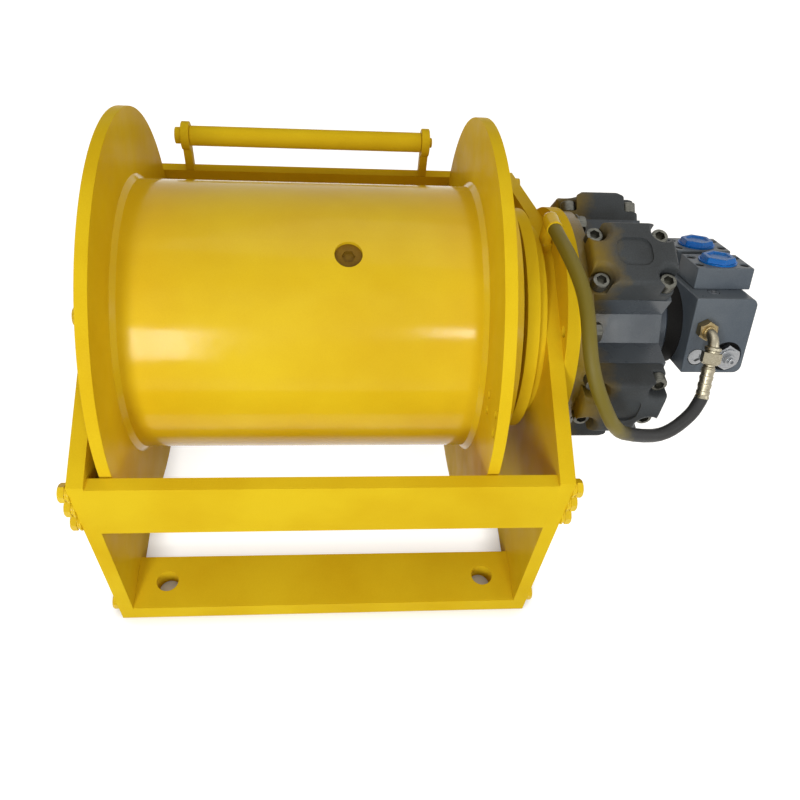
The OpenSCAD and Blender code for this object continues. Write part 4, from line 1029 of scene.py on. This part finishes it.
def smooth_route(points):
    """Smooth points along the hose, three to a span."""
    points = [Vector(p) * MM for p in points]
    last = len(points) - 1
    route = []
    for i in range(last):
        a, b, c, d = points[max(i - 1, 0)], points[i], points[i + 1], points[min(i + 2, last)]
        for k in range(3):
            t = k / 3
            route.append(0.5 * (2 * b + (c - a) * t + (2 * a - 5 * b + 4 * c - d) * t * t
                                + (3 * b - a - 3 * c + d) * t ** 3))
    return route + [points[last]]


def make_camera():
    """Camera where the photograph was taken from."""
    pitch, yaw, roll = (math.radians(v) for v in CAMERA_TURN)
    turn = Matrix.Rotation(yaw, 3, "Z")
    right = turn @ Vector((1, 0, 0))
    ahead = turn @ Vector((0, math.cos(pitch), -math.sin(pitch)))
    up = turn @ Vector((0, math.sin(pitch), math.cos(pitch)))
    right, up = math.cos(roll) * right + math.sin(roll) * up, -math.sin(roll) * right + math.cos(roll) * up
    data = bpy.data.cameras.new("camera")
    data.sensor_width = SENSOR_WIDTH
    data.sensor_fit = "HORIZONTAL"
    data.lens = CAMERA_LENS
    item = add_object("camera", data)
    matrix = Matrix((right, up, -ahead)).transposed().to_4x4()
    matrix.translation = Vector(CAMERA_PLACE) * MM
    item.matrix_world = matrix
    bpy.context.scene.camera = item


def background_rays(tree):
    """One where a ray goes to the camera, a mirror or through glass."""
    path = tree.nodes.new("ShaderNodeLightPath").outputs
    seen = arithmetic(tree, "MAXIMUM", path["Is Camera Ray"], path["Is Glossy Ray"])
    return arithmetic(tree, "MAXIMUM", seen, path["Is Transmission Ray"])


def make_floor():
    """Pale floor that looks white and keeps the object's shadow, its glow dimmed near the parts as painted
    shade.
    """
    bpy.ops.mesh.primitive_plane_add(size=FLOOR_SIZE, location=(0, 0, -FLOOR_DROP))
    floor = named("floor")
    settle(floor)
    material = bpy.data.materials.new("pale_floor")
    material.use_nodes = True
    tree = material.node_tree
    nodes, links = tree.nodes, tree.links
    shader = next(n for n in nodes if n.type == "BSDF_PRINCIPLED")
    output = next(n for n in nodes if n.type == "OUTPUT_MATERIAL")
    shader.inputs["Base Color"].default_value = (FLOOR_GREY, FLOOR_GREY, FLOOR_GREY, 1)
    shader.inputs["Roughness"].default_value = 0.9
    shader.inputs["Specular IOR Level"].default_value = 0.0
    glow = nodes.new("ShaderNodeEmission")
    glow.inputs["Color"].default_value = (*WHITE, 1)
    # The glow fades where the AO node finds the floor hemmed in: painted shade under the winch and in the
    # foundation holes
    painted_contact_shade = nodes.new("ShaderNodeAmbientOcclusion")
    painted_contact_shade.inputs["Distance"].default_value = PAINTED_SHADE_REACH
    glow_after_painted_shade = ramp(tree, painted_contact_shade.outputs["AO"], 0.1, 0.9, 0.0, FLOOR_GLOW)
    links.new(arithmetic(tree, "MULTIPLY", background_rays(tree), glow_after_painted_shade), glow.inputs["Strength"])
    both = nodes.new("ShaderNodeAddShader")
    links.new(shader.outputs[0], both.inputs[0])
    links.new(glow.outputs[0], both.inputs[1])
    links.new(both.outputs[0], output.inputs["Surface"])
    floor.data.materials.append(material)


def make_lamps():
    """World, lamps and view transform."""
    world = bpy.data.worlds.new("studio")
    bpy.context.scene.world = world
    world.use_nodes = True
    tree = world.node_tree
    background = next(n for n in tree.nodes if n.type == "BACKGROUND")
    seen = background_rays(tree)
    tree.links.new(mix(tree, seen, WORLD_TINT, WHITE), background.inputs["Color"])
    tree.links.new(ramp(tree, seen, 0.0, 1.0, WORLD_LEVEL, 1.0), background.inputs["Strength"])
    for name, where, target, size, power in LAMPS:
        data = bpy.data.lights.new(name, "AREA")
        data.shape = "RECTANGLE"
        data.size, data.size_y = size
        data.energy = power
        data.color = LAMP_COLOUR
        item = add_object(name, data)
        turn = (Vector(target) - Vector(where)).to_track_quat("-Z", "Y").to_matrix().to_4x4()
        item.matrix_world = Matrix.Translation(Vector(where)) @ turn
    bpy.context.scene.view_settings.view_transform = "Standard"


class WINCH_PT_panel(bpy.types.Panel):
    """Lists the winch's pieces"""

    bl_idname = "WINCH_PT_panel"
    bl_label = "Hydraulic winch"
    bl_space_type = "VIEW_3D"
    bl_region_type = "UI"
    bl_category = "Winch"

    def draw(self, context):
        for step in STEPS:
            self.layout.operator(step.bl_idname)
        for group in (context.scene.winch_sizes, context.scene.winch_colours):
            for key in group.__annotations__:
                self.layout.prop(group, key)


STEPS = (WINCH_OT_stage, WINCH_OT_nodes, WINCH_OT_hose, WINCH_OT_fittings, WINCH_OT_plates, WINCH_OT_drum,
         WINCH_OT_frame_bolts, WINCH_OT_motor, WINCH_OT_valve)
CLASSES = (WinchSizes, WinchColours, *STEPS, WINCH_PT_panel)


def register():
    for item in CLASSES:
        bpy.utils.register_class(item)
    bpy.types.Scene.winch_sizes = bpy.props.PointerProperty(type=WinchSizes)
    bpy.types.Scene.winch_colours = bpy.props.PointerProperty(type=WinchColours)


def unregister():
    del bpy.types.Scene.winch_colours
    del bpy.types.Scene.winch_sizes
    for item in reversed(CLASSES):
        bpy.utils.unregister_class(item)


def main():
    register()
    bpy.ops.winch.stage()
    bpy.ops.winch.nodes()
    bpy.ops.winch.hose()
    bpy.ops.winch.fittings()
    bpy.ops.winch.plates()
    bpy.ops.winch.drum()
    bpy.ops.winch.frame_bolts()
    bpy.ops.winch.motor()
    bpy.ops.winch.valve()


if __name__ == "__main__":
    main()
